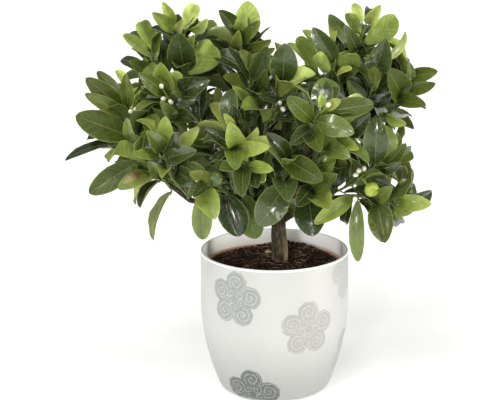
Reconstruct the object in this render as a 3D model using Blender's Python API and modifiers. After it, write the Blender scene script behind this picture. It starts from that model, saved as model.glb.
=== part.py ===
"""Potted calamondin: a small citrus bush in a nursery pot, stood inside a white glazed cachepot.

Metres, +Z up. The origin is the centre of the cachepot's flat foot. The viewer stands at -Y.
"""
import math
import random
from collections import namedtuple

import bpy
import bmesh
from mathutils import Matrix, Vector
from mathutils.bvhtree import BVHTree

MM = 0.001
GAP = 0.35 * MM
MERGE = 0.01 * MM

# Cachepot
POT_HEIGHT = 136 * MM
POT_RADIUS = 70 * MM
POT_WALL = 3.4 * MM
POT_STRAIGHT_FROM = 88 * MM
POT_TAPER = 19.5 * MM
POT_FOOT_CORNER = 9 * MM
POT_FOOT_SLOPE = math.radians(22)
POT_FLOOR = 5.5 * MM
POT_SIDES = 48

# Nursery pot and soil
NURSERY_RIM_Z = 121.5 * MM
NURSERY_RIM_RADIUS = 65.6 * MM
NURSERY_RIM_DEPTH = 9 * MM
NURSERY_WALL = 1.2 * MM
NURSERY_RIM_WALL = 2.4 * MM
NURSERY_BASE_RADIUS = 44 * MM
NURSERY_SIDES = 28
DRAIN_HOLES = 4
DRAIN_RADIUS = 4 * MM
DRAIN_CIRCLE = 30 * MM
SOIL_EDGE_Z = 119.5 * MM
SOIL_CROWN_Z = 125 * MM

# Wood
TRUNK_X = 4 * MM
TRUNK_HOLE_RADIUS = 8 * MM
TRUNK_HOLE_FLOOR_Z = 76 * MM
TRUNK_SIDES_STEP = 2
LIMB_SIDES_STEP = 1
TWIG_SIDES_STEP = 0
LIMB_RADIUS = (3.6 * MM, 1.9 * MM)
TWIG_RADIUS = (1.5 * MM, 0.8 * MM)

# Leaf blade: stations along its length, as (share of the length, share of the width)
BLADE_STATIONS = ((0.33, 0.93), (0.70, 0.85))
BLADE_FOOT_WIDTH = 2.4 * MM
RIB_THICKNESS = 1.3 * MM
ROOT_HALF = 0.55 * MM
LEAF_FOLD = 0.22
UNTWISTED_AT = 0.3
CLEARANCE = 0.5 * MM

# The viewer's eye, which the places in the crown are read from
EYE_DISTANCE = 2200 * MM
EYE_ELEVATION = math.radians(17)

SEED = 1117


# Places in the crown are (right, up, front): mm to the right of the pot's axis and above the rim's
# centre as the viewer sees them, and mm in front of the axis
Spray = namedtuple("Spray", "name limb at extra path leaves")
# A leaf that the viewer sees: base and tip as (right, up), width in mm, how much nearer the tip is than
# the base in mm (a leaf that looks short points further out), roll about its length in degrees (180
# shows the underside)
Leaf = namedtuple("Leaf", "base tip width rise roll")
Cluster = namedtuple("Cluster", "name spray places")

LIMBS = {
    "left": [(4, 21, 0), (-12, 33, 16), (-34, 39, 32), (-57, 41, 44),
             (-80, 46, 50), (-97, 59, 51), (-110, 76, 50)],
    "left_up": [(4, 33, 0), (-17, 61, 4), (-44, 88, 8), (-67, 114, 12), (-80, 137, 14)],
    "top": [(4, 41, 0), (-12, 79, -10), (-23, 117, -16), (-28, 152, -18)],
    "front": [(4, 29, 0), (-2, 50, 36), (-12, 69, 62), (-19, 84, 80)],
    "front_right": [(4, 31, 0), (17, 56, 36), (27, 79, 60), (32, 98, 72)],
    "right_up": [(4, 37, 0), (24, 69, -4), (45, 101, -4), (60, 129, -4)],
    "right": [(4, 25, 0), (28, 40, 22), (51, 47, 40), (72, 50, 50)],
    "right_out": [(4, 42, 0), (38, 74, -20), (72, 103, -20), (100, 124, -16)],
    "back_left": [(4, 37, 0), (-28, 65, -40), (-56, 93, -66), (-80, 114, -84)],
    "back": [(4, 41, 0), (-2, 79, -50), (-6, 112, -84)],
    "back_right": [(4, 35, 0), (34, 67, -44), (57, 95, -74), (73, 114, -90)],
}

SPRAYS = [
    Spray("left_top", "left", 1.0, 8,
          [(-121, 91, 50), (-133, 105, 50), (-138, 124, 47), (-140, 141, 42)], [
              Leaf((-137, 129), (-179, 162), 17, 10, 0),
              Leaf((-138, 137), (-168, 168), 11, -14, 10),
              Leaf((-138, 123), (-180, 147), 13, 8, 15),
              Leaf((-134, 103), (-189, 126), 26, 14, 0),
              Leaf((-133, 97), (-199, 83), 16, 12, 60),
              Leaf((-131, 96), (-153, 91), 12, -10, 30),
              Leaf((-137, 132), (-141, 166), 12, 2, 10),
              Leaf((-139, 148), (-149, 169), 9, -4, 30),
              Leaf((-129, 101), (-139, 124), 12, 16, -35),
          ]),
    Spray("left_low", "left", 0.86, 5,
          [(-108, 69, 58), (-118, 77, 64), (-128, 85, 66)], [
              Leaf((-129, 85), (-176, 52), 21, 12, 0),
              Leaf((-115, 73), (-148, 56), 15, 10, 20),
              Leaf((-106, 67), (-127, 38), 14, 6, 55),
              Leaf((-110, 70), (-131, 42), 14, -4, 60),
              Leaf((-108, 70), (-120, 83), 13, 14, 0),
              Leaf((-97, 54), (-114, 7), 11, 2, 50),
          ]),
    Spray("left_front", "left", 0.74, 5,
          [(-97, 67, 70), (-103, 84, 80), (-108, 101, 86)], [
              Leaf((-110, 87), (-133, 89), 11, 12, 20),
              Leaf((-107, 91), (-121, 112), 14, 8, 10),
              Leaf((-106, 93), (-103, 126), 16, 10, 0),
              Leaf((-104, 90), (-94, 111), 13, 16, 50),
              Leaf((-103, 86), (-73, 93), 17, 14, 0),
              Leaf((-99, 91), (-71, 116), 13, 5, 15),
          ]),
    Spray("left_mid", "left_up", 0.8, 4,
          [(-80, 129, 34), (-91, 139, 50), (-101, 146, 60)], [
              Leaf((-97, 126), (-108, 140), 11, 12, 0),
              Leaf((-96, 140), (-73, 143), 10, 4, 30),
              Leaf((-103, 147), (-129, 167), 14, 8, 0),
              Leaf((-103, 152), (-108, 177), 20, 10, 0),
              Leaf((-91, 146), (-94, 168), 11, 6, 160),
              Leaf((-88, 147), (-61, 160), 21, 14, 0),
              Leaf((-108, 137), (-131, 130), 11, 6, 60),
          ]),
    Spray("top_left", "left_up", 1.0, 5,
          [(-83, 158, 14), (-88, 184, 14), (-92, 207, 12)], [
              Leaf((-95, 214), (-106, 234), 9, 0, 0),
              Leaf((-96, 208), (-116, 224), 13, 5, 0),
              Leaf((-86, 207), (-74, 231), 14, -2, 0),
              Leaf((-80, 207), (-63, 218), 11, 2, 50),
              Leaf((-78, 197), (-65, 212), 9, -5, 60),
              Leaf((-91, 203), (-86, 217), 9, 6, 0),
              Leaf((-87, 167), (-91, 205), 26, 20, 0),
              Leaf((-86, 164), (-58, 193), 26, 10, 180),
              Leaf((-86, 184), (-76, 203), 11, 4, 20),
          ]),
    Spray("top_left_out", "left_up", 0.62, 5,
          [(-86, 133, 8), (-103, 154, 4), (-114, 173, 2), (-118, 184, 0)], [
              Leaf((-115, 188), (-126, 215), 14, 2, 180),
              Leaf((-118, 182), (-143, 203), 11, 4, 150),
              Leaf((-118, 186), (-137, 204), 11, -12, 30),
              Leaf((-120, 177), (-133, 188), 10, -6, 30),
              Leaf((-118, 165), (-145, 179), 12, -8, 20),
              Leaf((-116, 164), (-138, 178), 14, 10, 0),
              Leaf((-115, 165), (-124, 181), 9, 6, 0),
          ]),
    Spray("top_mid", "top", 1.0, 4,
          [(-30, 173, -16), (-31, 190, -13), (-30, 201, -10)], [
              Leaf((-27, 197), (-25, 235), 24, -4, 175),
              Leaf((-32, 207), (-28, 226), 12, 6, 0),
              Leaf((-34, 201), (-53, 226), 15, 4, 20),
              Leaf((-32, 194), (-21, 211), 11, 8, 0),
              Leaf((-25, 194), (-3, 198), 12, 5, 50),
              Leaf((-31, 188), (1, 190), 12, 8, 50),
              Leaf((-36, 180), (-65, 196), 12, 4, 50),
              Leaf((-36, 190), (-34, 207), 11, 12, 0),
          ]),
    Spray("top_mid_front", "top", 0.7, 7,
          [(-21, 137, 14), (-23, 152, 26), (-23, 167, 32)], [
              Leaf((-26, 158), (-45, 190), 13, 6, 50),
              Leaf((-21, 167), (-33, 188), 12, 5, 30),
              Leaf((-20, 160), (-6, 192), 16, 4, 0),
              Leaf((-18, 148), (-9, 170), 11, 10, 30),
              Leaf((-26, 141), (-40, 154), 9, 10, 0),
              Leaf((-27, 139), (-53, 175), 15, -10, 20),
          ]),
    Spray("top_right_front", "top", 0.42, 7,
          [(-8, 118, 36), (2, 133, 50), (7, 150, 56)], [
              Leaf((8, 158), (10, 195), 25, 8, 0),
              Leaf((2, 134), (-15, 144), 12, 6, 30),
          ]),
    Spray("right_top", "right_up", 1.0, 4,
          [(69, 154, 0), (76, 179, 3), (83, 203, 2)], [
              Leaf((83, 214), (75, 232), 9, -2, 0),
              Leaf((90, 213), (101, 231), 12, 0, 0),
              Leaf((87, 213), (90, 227), 9, -8, 0),
              Leaf((85, 194), (116, 219), 21, 8, 180),
              Leaf((81, 203), (69, 223), 11, 2, 160),
              Leaf((76, 188), (66, 212), 12, 8, 0),
              Leaf((75, 184), (51, 222), 13, 2, 20),
              Leaf((79, 188), (76, 204), 9, 14, 30),
              Leaf((71, 160), (72, 185), 21, 16, 180),
          ]),
    Spray("right_top_in", "right_up", 0.66, 4,
          [(51, 127, 14), (54, 156, 22), (54, 175, 22)], [
              Leaf((56, 177), (36, 210), 18, 8, 0),
              Leaf((49, 180), (26, 207), 13, 0, 20),
              Leaf((45, 175), (21, 200), 13, 8, 170),
              Leaf((54, 194), (52, 219), 9, -8, 30),
              Leaf((57, 179), (61, 205), 11, -6, 20),
              Leaf((53, 165), (40, 184), 12, 8, 170),
              Leaf((54, 141), (55, 171), 26, 20, 0),
              Leaf((43, 148), (26, 174), 14, 6, 10),
              Leaf((41, 163), (12, 195), 12, -8, 40),
          ]),
    Spray("right_out_top", "right_out", 0.7, 6,
          [(85, 129, 8), (92, 150, 18), (96, 171, 24)], [
              Leaf((96, 171), (105, 200), 23, 8, 0),
              Leaf((100, 177), (124, 206), 11, -6, 50),
              Leaf((96, 150), (92, 183), 15, 14, 170),
              Leaf((87, 141), (111, 148), 15, 16, 40),
              Leaf((83, 137), (69, 160), 15, 10, 0),
          ]),
    Spray("right_far", "right_out", 1.0, 5,
          [(111, 135, -12), (120, 146, -10), (125, 160, -8)], [
              Leaf((127, 161), (155, 168), 14, 2, 0),
              Leaf((125, 156), (127, 177), 9, 6, 30),
              Leaf((124, 150), (153, 157), 13, 10, 20),
              Leaf((117, 141), (144, 135), 14, 8, 0),
              Leaf((110, 133), (127, 126), 9, -6, 60),
              Leaf((106, 127), (125, 118), 11, 4, 40),
              Leaf((120, 145), (106, 171), 23, 14, 0),
              Leaf((106, 130), (94, 147), 17, 20, 0),
          ]),
    Spray("centre_right", "front_right", 1.0, 3,
          [(35, 110, 84), (39, 124, 92), (45, 131, 96)], [
              Leaf((37, 120), (12, 144), 16, 8, 0),
              Leaf((39, 124), (37, 150), 9, -6, 70),
              Leaf((45, 133), (44, 147), 8, 2, 20),
              Leaf((48, 133), (53, 148), 7, -4, 20),
              Leaf((49, 132), (63, 141), 9, 4, 0),
              Leaf((41, 120), (76, 109), 19, 6, 0),
              Leaf((45, 127), (95, 137), 18, -8, 0),
              Leaf((33, 114), (14, 98), 14, 10, 0),
              Leaf((35, 112), (44, 91), 20, 14, 0),
          ]),
    Spray("centre_right_low", "front_right", 0.62, 6,
          [(41, 90, 74), (53, 99, 80), (64, 107, 82)], [
              Leaf((48, 97), (72, 86), 16, 14, 0),
              Leaf((63, 107), (80, 94), 11, 8, 20),
              Leaf((70, 109), (91, 129), 15, 0, 10),
          ]),
    Spray("centre_left", "front", 1.0, 3,
          [(-26, 93, 90), (-34, 101, 95), (-40, 110, 96)], [
              Leaf((-35, 97), (-42, 120), 17, 14, 0),
              Leaf((-38, 97), (-66, 115), 13, 6, 0),
              Leaf((-34, 93), (-72, 103), 11, -6, 55),
              Leaf((-40, 112), (-48, 128), 8, 2, 20),
              Leaf((-33, 93), (-4, 97), 14, 12, 0),
              Leaf((-33, 101), (-16, 115), 11, 4, 40),
              Leaf((-38, 95), (-37, 74), 17, 10, 0),
              Leaf((-36, 112), (-39, 137), 15, 4, 0),
              Leaf((-42, 109), (-60, 138), 12, -6, 10),
          ]),
    Spray("centre_low", "front", 0.72, 5,
          [(-19, 73, 82), (-27, 80, 92)], [
              Leaf((-27, 81), (-1, 74), 11, 14, 0),
              Leaf((-23, 74), (-16, 57), 17, 10, 0),
              Leaf((-28, 76), (-30, 48), 16, 14, 0),
          ]),
    Spray("over_trunk", "front", 0.34, 6,
          [(4, 57, 56), (11, 69, 72), (13, 80, 80)], [
              Leaf((11, 61), (-15, 21), 28, 12, 0),
              Leaf((12, 84), (46, 64), 21, 14, 0),
              Leaf((13, 82), (-8, 110), 15, 0, 20),
          ]),
    Spray("over_trunk_right", "right", 0.4, 6,
          [(32, 50, 42), (37, 61, 56)], [
              Leaf((33, 50), (37, 11), 31, 16, 0),
              Leaf((38, 61), (60, 71), 17, 8, 0),
              Leaf((37, 59), (20, 40), 16, 12, 0),
          ]),
    Spray("low_left", "left", 0.36, 5,
          [(-44, 52, 54), (-53, 59, 66), (-67, 61, 74)], [
              Leaf((-67, 56), (-56, 27), 21, 10, 0),
              Leaf((-65, 56), (-68, 8), 19, -2, 10),
              Leaf((-46, 56), (-33, 11), 27, 12, 0),
              Leaf((-55, 63), (-81, 72), 12, 8, 30),
              Leaf((-64, 61), (-77, 48), 12, 12, 0),
          ]),
    Spray("low_mid_left", "left", 0.2, 6,
          [(-27, 50, 44), (-29, 59, 60)], [
              Leaf((-27, 54), (-17, 9), 25, 6, 10),
              Leaf((-29, 57), (-42, 76), 17, 10, 0),
          ]),
    Spray("right_low", "right", 1.0, 4,
          [(89, 48, 56), (105, 44, 58), (117, 43, 58)], [
              Leaf((115, 44), (149, 42), 16, 8, 0),
              Leaf((111, 46), (149, 55), 14, -12, 20),
              Leaf((96, 44), (105, 5), 23, 8, 0),
              Leaf((79, 46), (79, -13), 14, 4, 10),
              Leaf((97, 46), (112, 59), 13, 12, 0),
              Leaf((107, 42), (119, 24), 12, -6, 20),
              Leaf((75, 49), (37, 23), 15, 22, 0),
              Leaf((111, 41), (131, 35), 10, 14, 40),
              Leaf((73, 47), (67, 24), 10, -12, 20),
          ]),
    Spray("right_mid", "right", 0.82, 5,
          [(77, 63, 60), (89, 74, 66), (102, 82, 68)], [
              Leaf((94, 78), (97, 125), 23, 4, 0),
              Leaf((102, 84), (118, 109), 11, -8, 20),
              Leaf((104, 82), (125, 100), 12, 4, 20),
              Leaf((104, 81), (129, 93), 13, -10, 10),
              Leaf((98, 78), (120, 82), 12, 14, 40),
          ]),
    Spray("back_left_end", "back_left", 1.0, 11,
          [(-98, 128, -96), (-114, 140, -104)], []),
    Spray("back_left_low", "back_left", 0.6, 11,
          [(-72, 80, -84), (-90, 72, -98)], []),
    Spray("back_left_high", "back_left", 0.85, 11,
          [(-78, 134, -68), (-82, 162, -72)], []),
    Spray("left_rear", "left_up", 0.45, 12,
          [(-76, 104, -22), (-112, 116, -42), (-134, 122, -50)], []),
    Spray("left_rear_low", "left_up", 0.3, 11,
          [(-56, 76, -30), (-92, 70, -58), (-108, 72, -66)], []),
    Spray("back_end", "back", 1.0, 11,
          [(-8, 128, -100), (-10, 146, -110)], []),
    Spray("back_low", "back", 0.6, 11,
          [(4, 90, -86), (12, 82, -108)], []),
    Spray("back_left_inner", "back", 0.82, 11,
          [(-30, 122, -92), (-50, 124, -106)], []),
    Spray("back_right_inner", "back", 0.7, 11,
          [(20, 118, -86), (32, 138, -100)], []),
    Spray("back_right_end", "back_right", 1.0, 11,
          [(86, 122, -100), (98, 134, -106)], []),
    Spray("back_right_low", "back_right", 0.6, 11,
          [(62, 80, -90), (78, 70, -106)], []),
    Spray("back_right_high", "back_right", 0.85, 11,
          [(68, 134, -72), (74, 160, -70)], []),
    Spray("right_rear", "right_out", 0.55, 11,
          [(90, 92, -46), (114, 84, -64)], []),
    Spray("top_rear_left", "top", 0.8, 11,
          [(-44, 156, -46), (-58, 182, -52)], []),
    Spray("top_rear_right", "right_up", 0.8, 11,
          [(56, 142, -32), (58, 170, -42)], []),
    Spray("top_rear", "top", 0.55, 11,
          [(-10, 128, -44), (2, 150, -58)], []),
]

FRUITS = [Cluster("fruit_right", "right_mid", [(92, 56, 76)]),
          Cluster("fruit_left", "low_left", [(-55, 67, 86)])]
FRUIT_RADIUS = 6.8 * MM
FRUIT_LENGTH = 0.94
FRUIT_STALK_RADIUS = 0.9 * MM

BUDS = [Cluster("buds_left", "left_mid", [(-105, 142, 72), (-98, 139, 66), (-107, 154, 76)]),
        Cluster("buds_centre", "centre_right", [(51, 136, 106)]),
        Cluster("buds_right", "right_mid", [(85, 76, 76), (77, 70, 76), (80, 74, 80)]),
        Cluster("buds_top", "top_right_front", [(5, 138, 64), (8, 132, 62)]),
        Cluster("buds_far_left", "left_top", [(-136, 130, 58), (-131, 132, 58)])]
BUD_RADIUS = 2.2 * MM
BUD_LENGTH = 1.35
BUD_STALK_RADIUS = 0.6 * MM
STALK_GAP = 1.6 * GAP
FORK_SHARE = 0.3

# Outline of the crown as the viewer sees it: ellipses (right, up, half width, half height) in mm
LOBES = [(-118, 117, 66, 54), (-87, 180, 40, 46), (-25, 167, 36, 58), (73, 173, 48, 52),
         (107, 133, 37, 39), (-4, 93, 94, 73), (100, 56, 37, 42), (-12, 46, 68, 33)]
LOWEST_LEAF_Z = 150 * MM

# Leaves that follow the rule: length and width range, opening angle, turn from leaf to leaf
LEAF_LENGTH = (34 * MM, 52 * MM)
LEAF_ASPECT = (0.44, 0.54)
LEAF_OPENING = (math.radians(38), math.radians(68))
LEAF_TURN = math.radians(137.5)
PETIOLE = 5 * MM
SHORT_PETIOLE = 3 * MM
LONG_PETIOLE = 9 * MM
WIDE_LEAF = 23 * MM
FULL_LENGTH = 44
DEPTH_SHARE = 0.75
TRIES = 14
# Where leaves sit along a twig, as shares of its length, and the steps in which a place is looked for
FIRST_LEAF = 0.25
LAST_LEAF = 0.96
TWIG_STEPS = 24
# Shape of a leaf: arch as a share of its length, twist in radians, lift of its upper side to the sky
SEEN_ARCH = (0.02, 0.08)
ARCH = (0.03, 0.1)
TWIST = (-0.3, 0.3)
SKYWARD = Vector((0.0, 0.0, 0.6))
# How far a leaf strays from its place while it looks for room
STRAY_RISE = 18
STRAY_FRONT = 6
STRAY_SEEN_ROLL = 14
STRAY_SHARE = 0.03
STRAY_TURN = 0.25
STRAY_TURN_GROWTH = 0.2
STRAY_OPENING = 0.2
STRAY_ROLL = 0.4
SHRINK = 0.025


def fresh_scene():
    for old in list(bpy.data.objects):
        bpy.data.objects.remove(old, do_unlink=True)


def new_collection(name):
    collection = bpy.data.collections.new(name)
    bpy.context.scene.collection.children.link(collection)
    return collection


def material(name, color, roughness):
    made = bpy.data.materials.new(name)
    made.use_nodes = True
    shader = made.node_tree.nodes["Principled BSDF"]
    shader.inputs["Base Color"].default_value = (*color, 1.0)
    shader.inputs["Roughness"].default_value = roughness
    shader.inputs["Metallic"].default_value = 0.0
    return made


def evaluated_mesh(source):
    """The mesh that an object shows, with its modifiers or its curve worked out."""
    graph = bpy.context.evaluated_depsgraph_get()
    graph.update()
    return bpy.data.meshes.new_from_object(source.evaluated_get(graph))


def add_object(name, mesh, collection, finish=None):
    made = bpy.data.objects.new(name, mesh)
    collection.objects.link(made)
    if finish:
        mesh.materials.clear()
        mesh.materials.append(finish)
    return made


def turned(name, profile, sides, collection, finish):
    """A solid of revolution about Z: profile runs from the axis round to the axis, outer side downwards."""
    mesh = bpy.data.meshes.new(name)
    points = [(radius, 0.0, z) for radius, z in profile]
    mesh.from_pydata(points, [(i, i + 1) for i in range(len(points) - 1)], [])
    made = add_object(name, mesh, collection)
    screw = made.modifiers.new("turn", "SCREW")
    screw.steps = sides
    screw.render_steps = sides
    screw.use_merge_vertices = True
    screw.merge_threshold = MERGE
    finished = evaluated_mesh(made)
    bpy.data.objects.remove(made)
    bpy.data.meshes.remove(mesh)
    finished.shade_smooth()
    finished.set_sharp_from_angle(angle=math.radians(40))
    return add_object(name, finished, collection, finish)


def boolean(target, operation, tools):
    """Unite or cut target with every object of the collection tools, and remove the tools."""
    modifier = target.modifiers.new(operation.lower(), "BOOLEAN")
    modifier.operation = operation
    modifier.operand_type = "COLLECTION"
    modifier.collection = tools
    modifier.solver = "EXACT"
    finished = evaluated_mesh(target)
    if not is_closed(finished):
        modifier.solver = "MANIFOLD"
        finished = evaluated_mesh(target)
    keep_outer_body(finished)
    target.modifiers.clear()
    old = target.data
    target.data = finished
    bpy.data.meshes.remove(old)
    for tool in list(tools.objects):
        bpy.data.objects.remove(tool, do_unlink=True)


def is_closed(mesh):
    work = bmesh.new()
    work.from_mesh(mesh)
    closed = all(edge.is_manifold for edge in work.edges)
    work.free()
    return closed


def keep_outer_body(mesh):
    """Fill the hollows that joining has sealed, and drop loose scraps: only the largest shell stays."""
    work = bmesh.new()
    work.from_mesh(mesh)
    waiting = set(work.faces)
    shells = []
    while waiting:
        shell = []
        front = [waiting.pop()]
        while front:
            face = front.pop()
            shell.append(face)
            near = {other for edge in face.edges for other in edge.link_faces} & waiting
            waiting -= near
            front.extend(near)
        shells.append(shell)
    shells.sort(key=len)
    for shell in shells[:-1]:
        bmesh.ops.delete(work, geom=shell, context="FACES")
    work.to_mesh(mesh)
    work.free()


def weld(mesh):
    work = bmesh.new()
    work.from_mesh(mesh)
    bmesh.ops.remove_doubles(work, verts=work.verts, dist=MERGE)
    bmesh.ops.recalc_face_normals(work, faces=work.faces)
    work.to_mesh(mesh)
    work.free()


def tube(name, points, radii, step, collection, finish=None):
    """A tapered stem through points, with 4 + 2 * step sides and closed ends."""
    curve = bpy.data.curves.new(name, "CURVE")
    curve.dimensions = "3D"
    curve.bevel_depth = 1.0
    curve.bevel_resolution = step
    curve.use_fill_caps = True
    spline = curve.splines.new("POLY")
    spline.points.add(len(points) - 1)
    for target, point, radius in zip(spline.points, points, radii):
        target.co = (*point, 1.0)
        target.radius = radius
    guide = bpy.data.objects.new(name, curve)
    collection.objects.link(guide)
    mesh = evaluated_mesh(guide)
    place = guide.matrix_world.copy()
    bpy.data.objects.remove(guide)
    bpy.data.curves.remove(curve)
    weld(mesh)
    made = add_object(name, mesh, collection, finish)
    made.matrix_world = place
    return made


def tapered(radius_range, count):
    start, end = radius_range
    return [start + (end - start) * i / (count - 1) for i in range(count)]


# The viewer's sight lines
RIM_CENTRE = Vector((0.0, 0.0, POT_HEIGHT))
VIEW_UP = Vector((0.0, math.sin(EYE_ELEVATION), math.cos(EYE_ELEVATION)))
VIEW_AWAY = Vector((0.0, math.cos(EYE_ELEVATION), -math.sin(EYE_ELEVATION)))
EYE = RIM_CENTRE - VIEW_AWAY * EYE_DISTANCE


def seen(right, up, front):
    """The point that the viewer sees at (right, up), front mm before the pot's axis."""
    target = RIM_CENTRE + Vector((right * MM, 0.0, 0.0)) + VIEW_UP * (up * MM)
    reach = (-front * MM - EYE.y) / (target.y - EYE.y)
    return EYE + (target - EYE) * reach


def as_seen(point):
    """Where the viewer sees a point, as (right, up) in mm."""
    ray = point - EYE
    scale = EYE_DISTANCE / ray.dot(VIEW_AWAY)
    return ray.x * scale / MM, ray.dot(VIEW_UP) * scale / MM


def inside_outline(point):
    right, up = as_seen(point)
    return any(((right - x) / wide) ** 2 + ((up - y) / high) ** 2 < 1.0 for x, y, wide, high in LOBES)


def along(points, share):
    """Point and direction at a share of a polyline's length."""
    lengths = [(b - a).length for a, b in zip(points, points[1:])]
    left = share * sum(lengths)
    for index, length in enumerate(lengths):
        if left <= length or index == len(lengths) - 1:
            direction = (points[index + 1] - points[index]).normalized()
            return points[index] + direction * min(left, length), direction
        left -= length


def across(direction, towards):
    """The part of towards that is square to direction, as a unit vector."""
    square = towards - direction * towards.dot(direction)
    return square.normalized()


def limb_points(name):
    return [seen(*place) for place in LIMBS[name]]


def twig_points(spray):
    """A twig's centre line: it leaves its limb square to it, or goes on from the limb's end."""
    limb = limb_points(spray.limb)
    places = [seen(*place) for place in spray.path]
    point, direction = along(limb, spray.at)
    if spray.at >= 1.0:
        outward, start = direction, point + direction * GAP
    else:
        outward = across(direction, places[0] - point)
        start_radius, end_radius = LIMB_RADIUS
        radius = start_radius + (end_radius - start_radius) * spray.at
        start = point + outward * (radius + GAP)
    return [start, start + outward * 3 * MM] + places


class Blade:
    """One leaf: a folded, arched and twisted blade on a short petiole that starts inside the twig."""

    def __init__(self, root, base, tip, width, normal, arch, twist):
        direction = (tip - base).normalized()
        if (base - root).length < SHORT_PETIOLE:
            base = root + direction * SHORT_PETIOLE
        self.root, self.base, self.tip = root, base, tip
        self.width, self.arch, self.twist = width, arch, twist
        self.direction = (tip - base).normalized()
        self.normal = across(self.direction, normal)
        self.ribbed = width > WIDE_LEAF

    def centre(self, share):
        return self.base.lerp(self.tip, share) + self.normal * (self.arch * 4 * share * (1 - share))

    def frame(self, share):
        turn = Matrix.Rotation(self.twist * (share - UNTWISTED_AT), 3, self.direction)
        normal = turn @ self.normal
        return self.direction.cross(normal), normal

    def ring(self, centre, side, normal, half, thickness, fold):
        """Corners across the blade: edge, rib above if the leaf is wide, edge, rib below."""
        left, right = centre - side * half, centre + side * half
        if not self.ribbed:
            return [left, right, centre - normal * thickness]
        raised = normal * (fold * half)
        return [left + raised, centre + normal * (thickness / 2), right + raised,
                centre - normal * (thickness / 2)]

    def rings(self, grow, root):
        long_petiole = (self.base - self.root).length > LONG_PETIOLE
        stem = (self.base - root).normalized() if long_petiole else self.direction
        up = across(stem, self.normal)
        rings = [[root + up * (ROOT_HALF + grow), root - up * (ROOT_HALF + grow)]]
        if long_petiole:
            bend = (stem + self.direction).normalized()
            up = across(bend, self.normal)
            foot = BLADE_FOOT_WIDTH / 2 + grow
            rings.append(self.ring(self.base, bend.cross(up), up, foot, RIB_THICKNESS + 2 * grow, 0.0))
        for share, wide in BLADE_STATIONS:
            side, normal = self.frame(share)
            half = self.width * wide / 2 + grow
            rings.append(self.ring(self.centre(share), side, normal, half,
                                   RIB_THICKNESS + 2 * grow, LEAF_FOLD))
        return rings

    def shape(self, grow=0.0, root=None):
        """Corners and triangles, both faces of the blade split alike; grow thickens it all round."""
        rings = self.rings(grow, root or self.root)
        corners = [corner for ring in rings for corner in ring]
        corners.append(self.tip + self.direction * grow)
        if self.ribbed:
            count, pairs = 4, ((0, 1), (2, 1), (2, 3), (0, 3))
            faces = [(0, 2, 3), (0, 3, 4), (0, 1, 2), (1, 2, 5), (0, 1, 4), (1, 4, 5)]
        else:
            count, pairs = 3, ((0, 1), (0, 2), (1, 2))
            faces = [(0, 2, 3), (0, 1, 2), (1, 2, 4), (0, 1, 3), (1, 3, 4)]
        last = len(corners) - 1 - count
        for lower in range(2, last, count):
            for edge, rib in pairs:
                faces.append((lower + edge, lower + rib, lower + count + rib))
                faces.append((lower + edge, lower + count + rib, lower + count + edge))
        faces += [(last + i, last + (i + 1) % count, len(corners) - 1) for i in range(count)]
        return corners, faces

    def mesh(self, name):
        corners, faces = self.shape()
        made = bpy.data.meshes.new(name)
        made.from_pydata(corners, [], faces)
        weld(made)
        return made


class Room:
    """Everything placed so far, so that nothing new grows through it."""

    def __init__(self):
        self.taken = []

    def add(self, corners, faces, owner):
        centre = sum(corners, Vector()) / len(corners)
        radius = max((corner - centre).length for corner in corners)
        self.taken.append((centre, radius, BVHTree.FromPolygons(corners, faces), owner))

    def is_free(self, corners, faces, passes):
        """Whether a shape touches nothing whose owner passes lets count."""
        centre = sum(corners, Vector()) / len(corners)
        radius = max((corner - centre).length for corner in corners)
        tree = BVHTree.FromPolygons(corners, faces)
        for other_centre, other_radius, other, owner in self.taken:
            near = (centre - other_centre).length < radius + other_radius
            if near and passes(owner) and tree.overlap(other):
                return False
        return True


def object_shape(source):
    corners = [source.matrix_world @ vertex.co for vertex in source.data.vertices]
    return corners, [tuple(face.vertices) for face in source.data.polygons]


def try_blade(room, blade, name):
    """Place a blade if it has room. It may only touch its own twig, and its neighbours right at the twig."""
    clear_root = blade.root + (blade.base - blade.root).normalized() * (TWIG_RADIUS[0] + CLEARANCE)
    leaves_of_spray = name + " leaves"
    own = (name, leaves_of_spray)
    if not room.is_free(*blade.shape(CLEARANCE), lambda owner: owner not in own):
        return False
    if not room.is_free(*blade.shape(CLEARANCE, clear_root), lambda owner: owner == leaves_of_spray):
        return False
    room.add(*blade.shape(), leaves_of_spray)
    return True


def twig_radius(share):
    return TWIG_RADIUS[0] + (TWIG_RADIUS[1] - TWIG_RADIUS[0]) * share


def nearest_on_twig(points, place):
    """Places on a twig as (point, direction, share of its length), the one seen nearest to place first."""
    found = []
    for i in range(2, TWIG_STEPS):
        point, direction = along(points, i / TWIG_STEPS)
        found.append((point, direction, i / TWIG_STEPS))
    return sorted(found, key=lambda spot: math.dist(as_seen(spot[0]), place[:2]))


def seen_leaf(room, leaf, points, draw, name):
    """A leaf whose base and tip the viewer sees; its depth and roll give way until it has room."""
    root, _, _ = nearest_on_twig(points, leaf.base)[0]
    front = -root.y / MM
    hidden = math.sqrt(max(0.0, FULL_LENGTH ** 2 - math.dist(leaf.base, leaf.tip) ** 2))
    reach = leaf.rise + math.copysign(DEPTH_SHARE * hidden, leaf.rise)
    for attempt in range(3 * TRIES):
        slack = attempt / TRIES
        rise = reach + draw.uniform(-STRAY_RISE, STRAY_RISE) * slack
        base = seen(*leaf.base, front + draw.uniform(-STRAY_FRONT, STRAY_FRONT) * slack)
        tip = seen(*leaf.tip, front + rise)
        roll = math.radians(leaf.roll + draw.uniform(-STRAY_SEEN_ROLL, STRAY_SEEN_ROLL) * slack)
        direction = (tip - base).normalized()
        facing = Matrix.Rotation(roll, 3, direction) @ across(direction, -VIEW_AWAY)
        arch = draw.uniform(*SEEN_ARCH) * (tip - base).length
        blade = Blade(root, base, tip, leaf.width * MM, facing, arch, draw.uniform(*TWIST))
        if try_blade(room, blade, name):
            return blade
    return None


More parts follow.
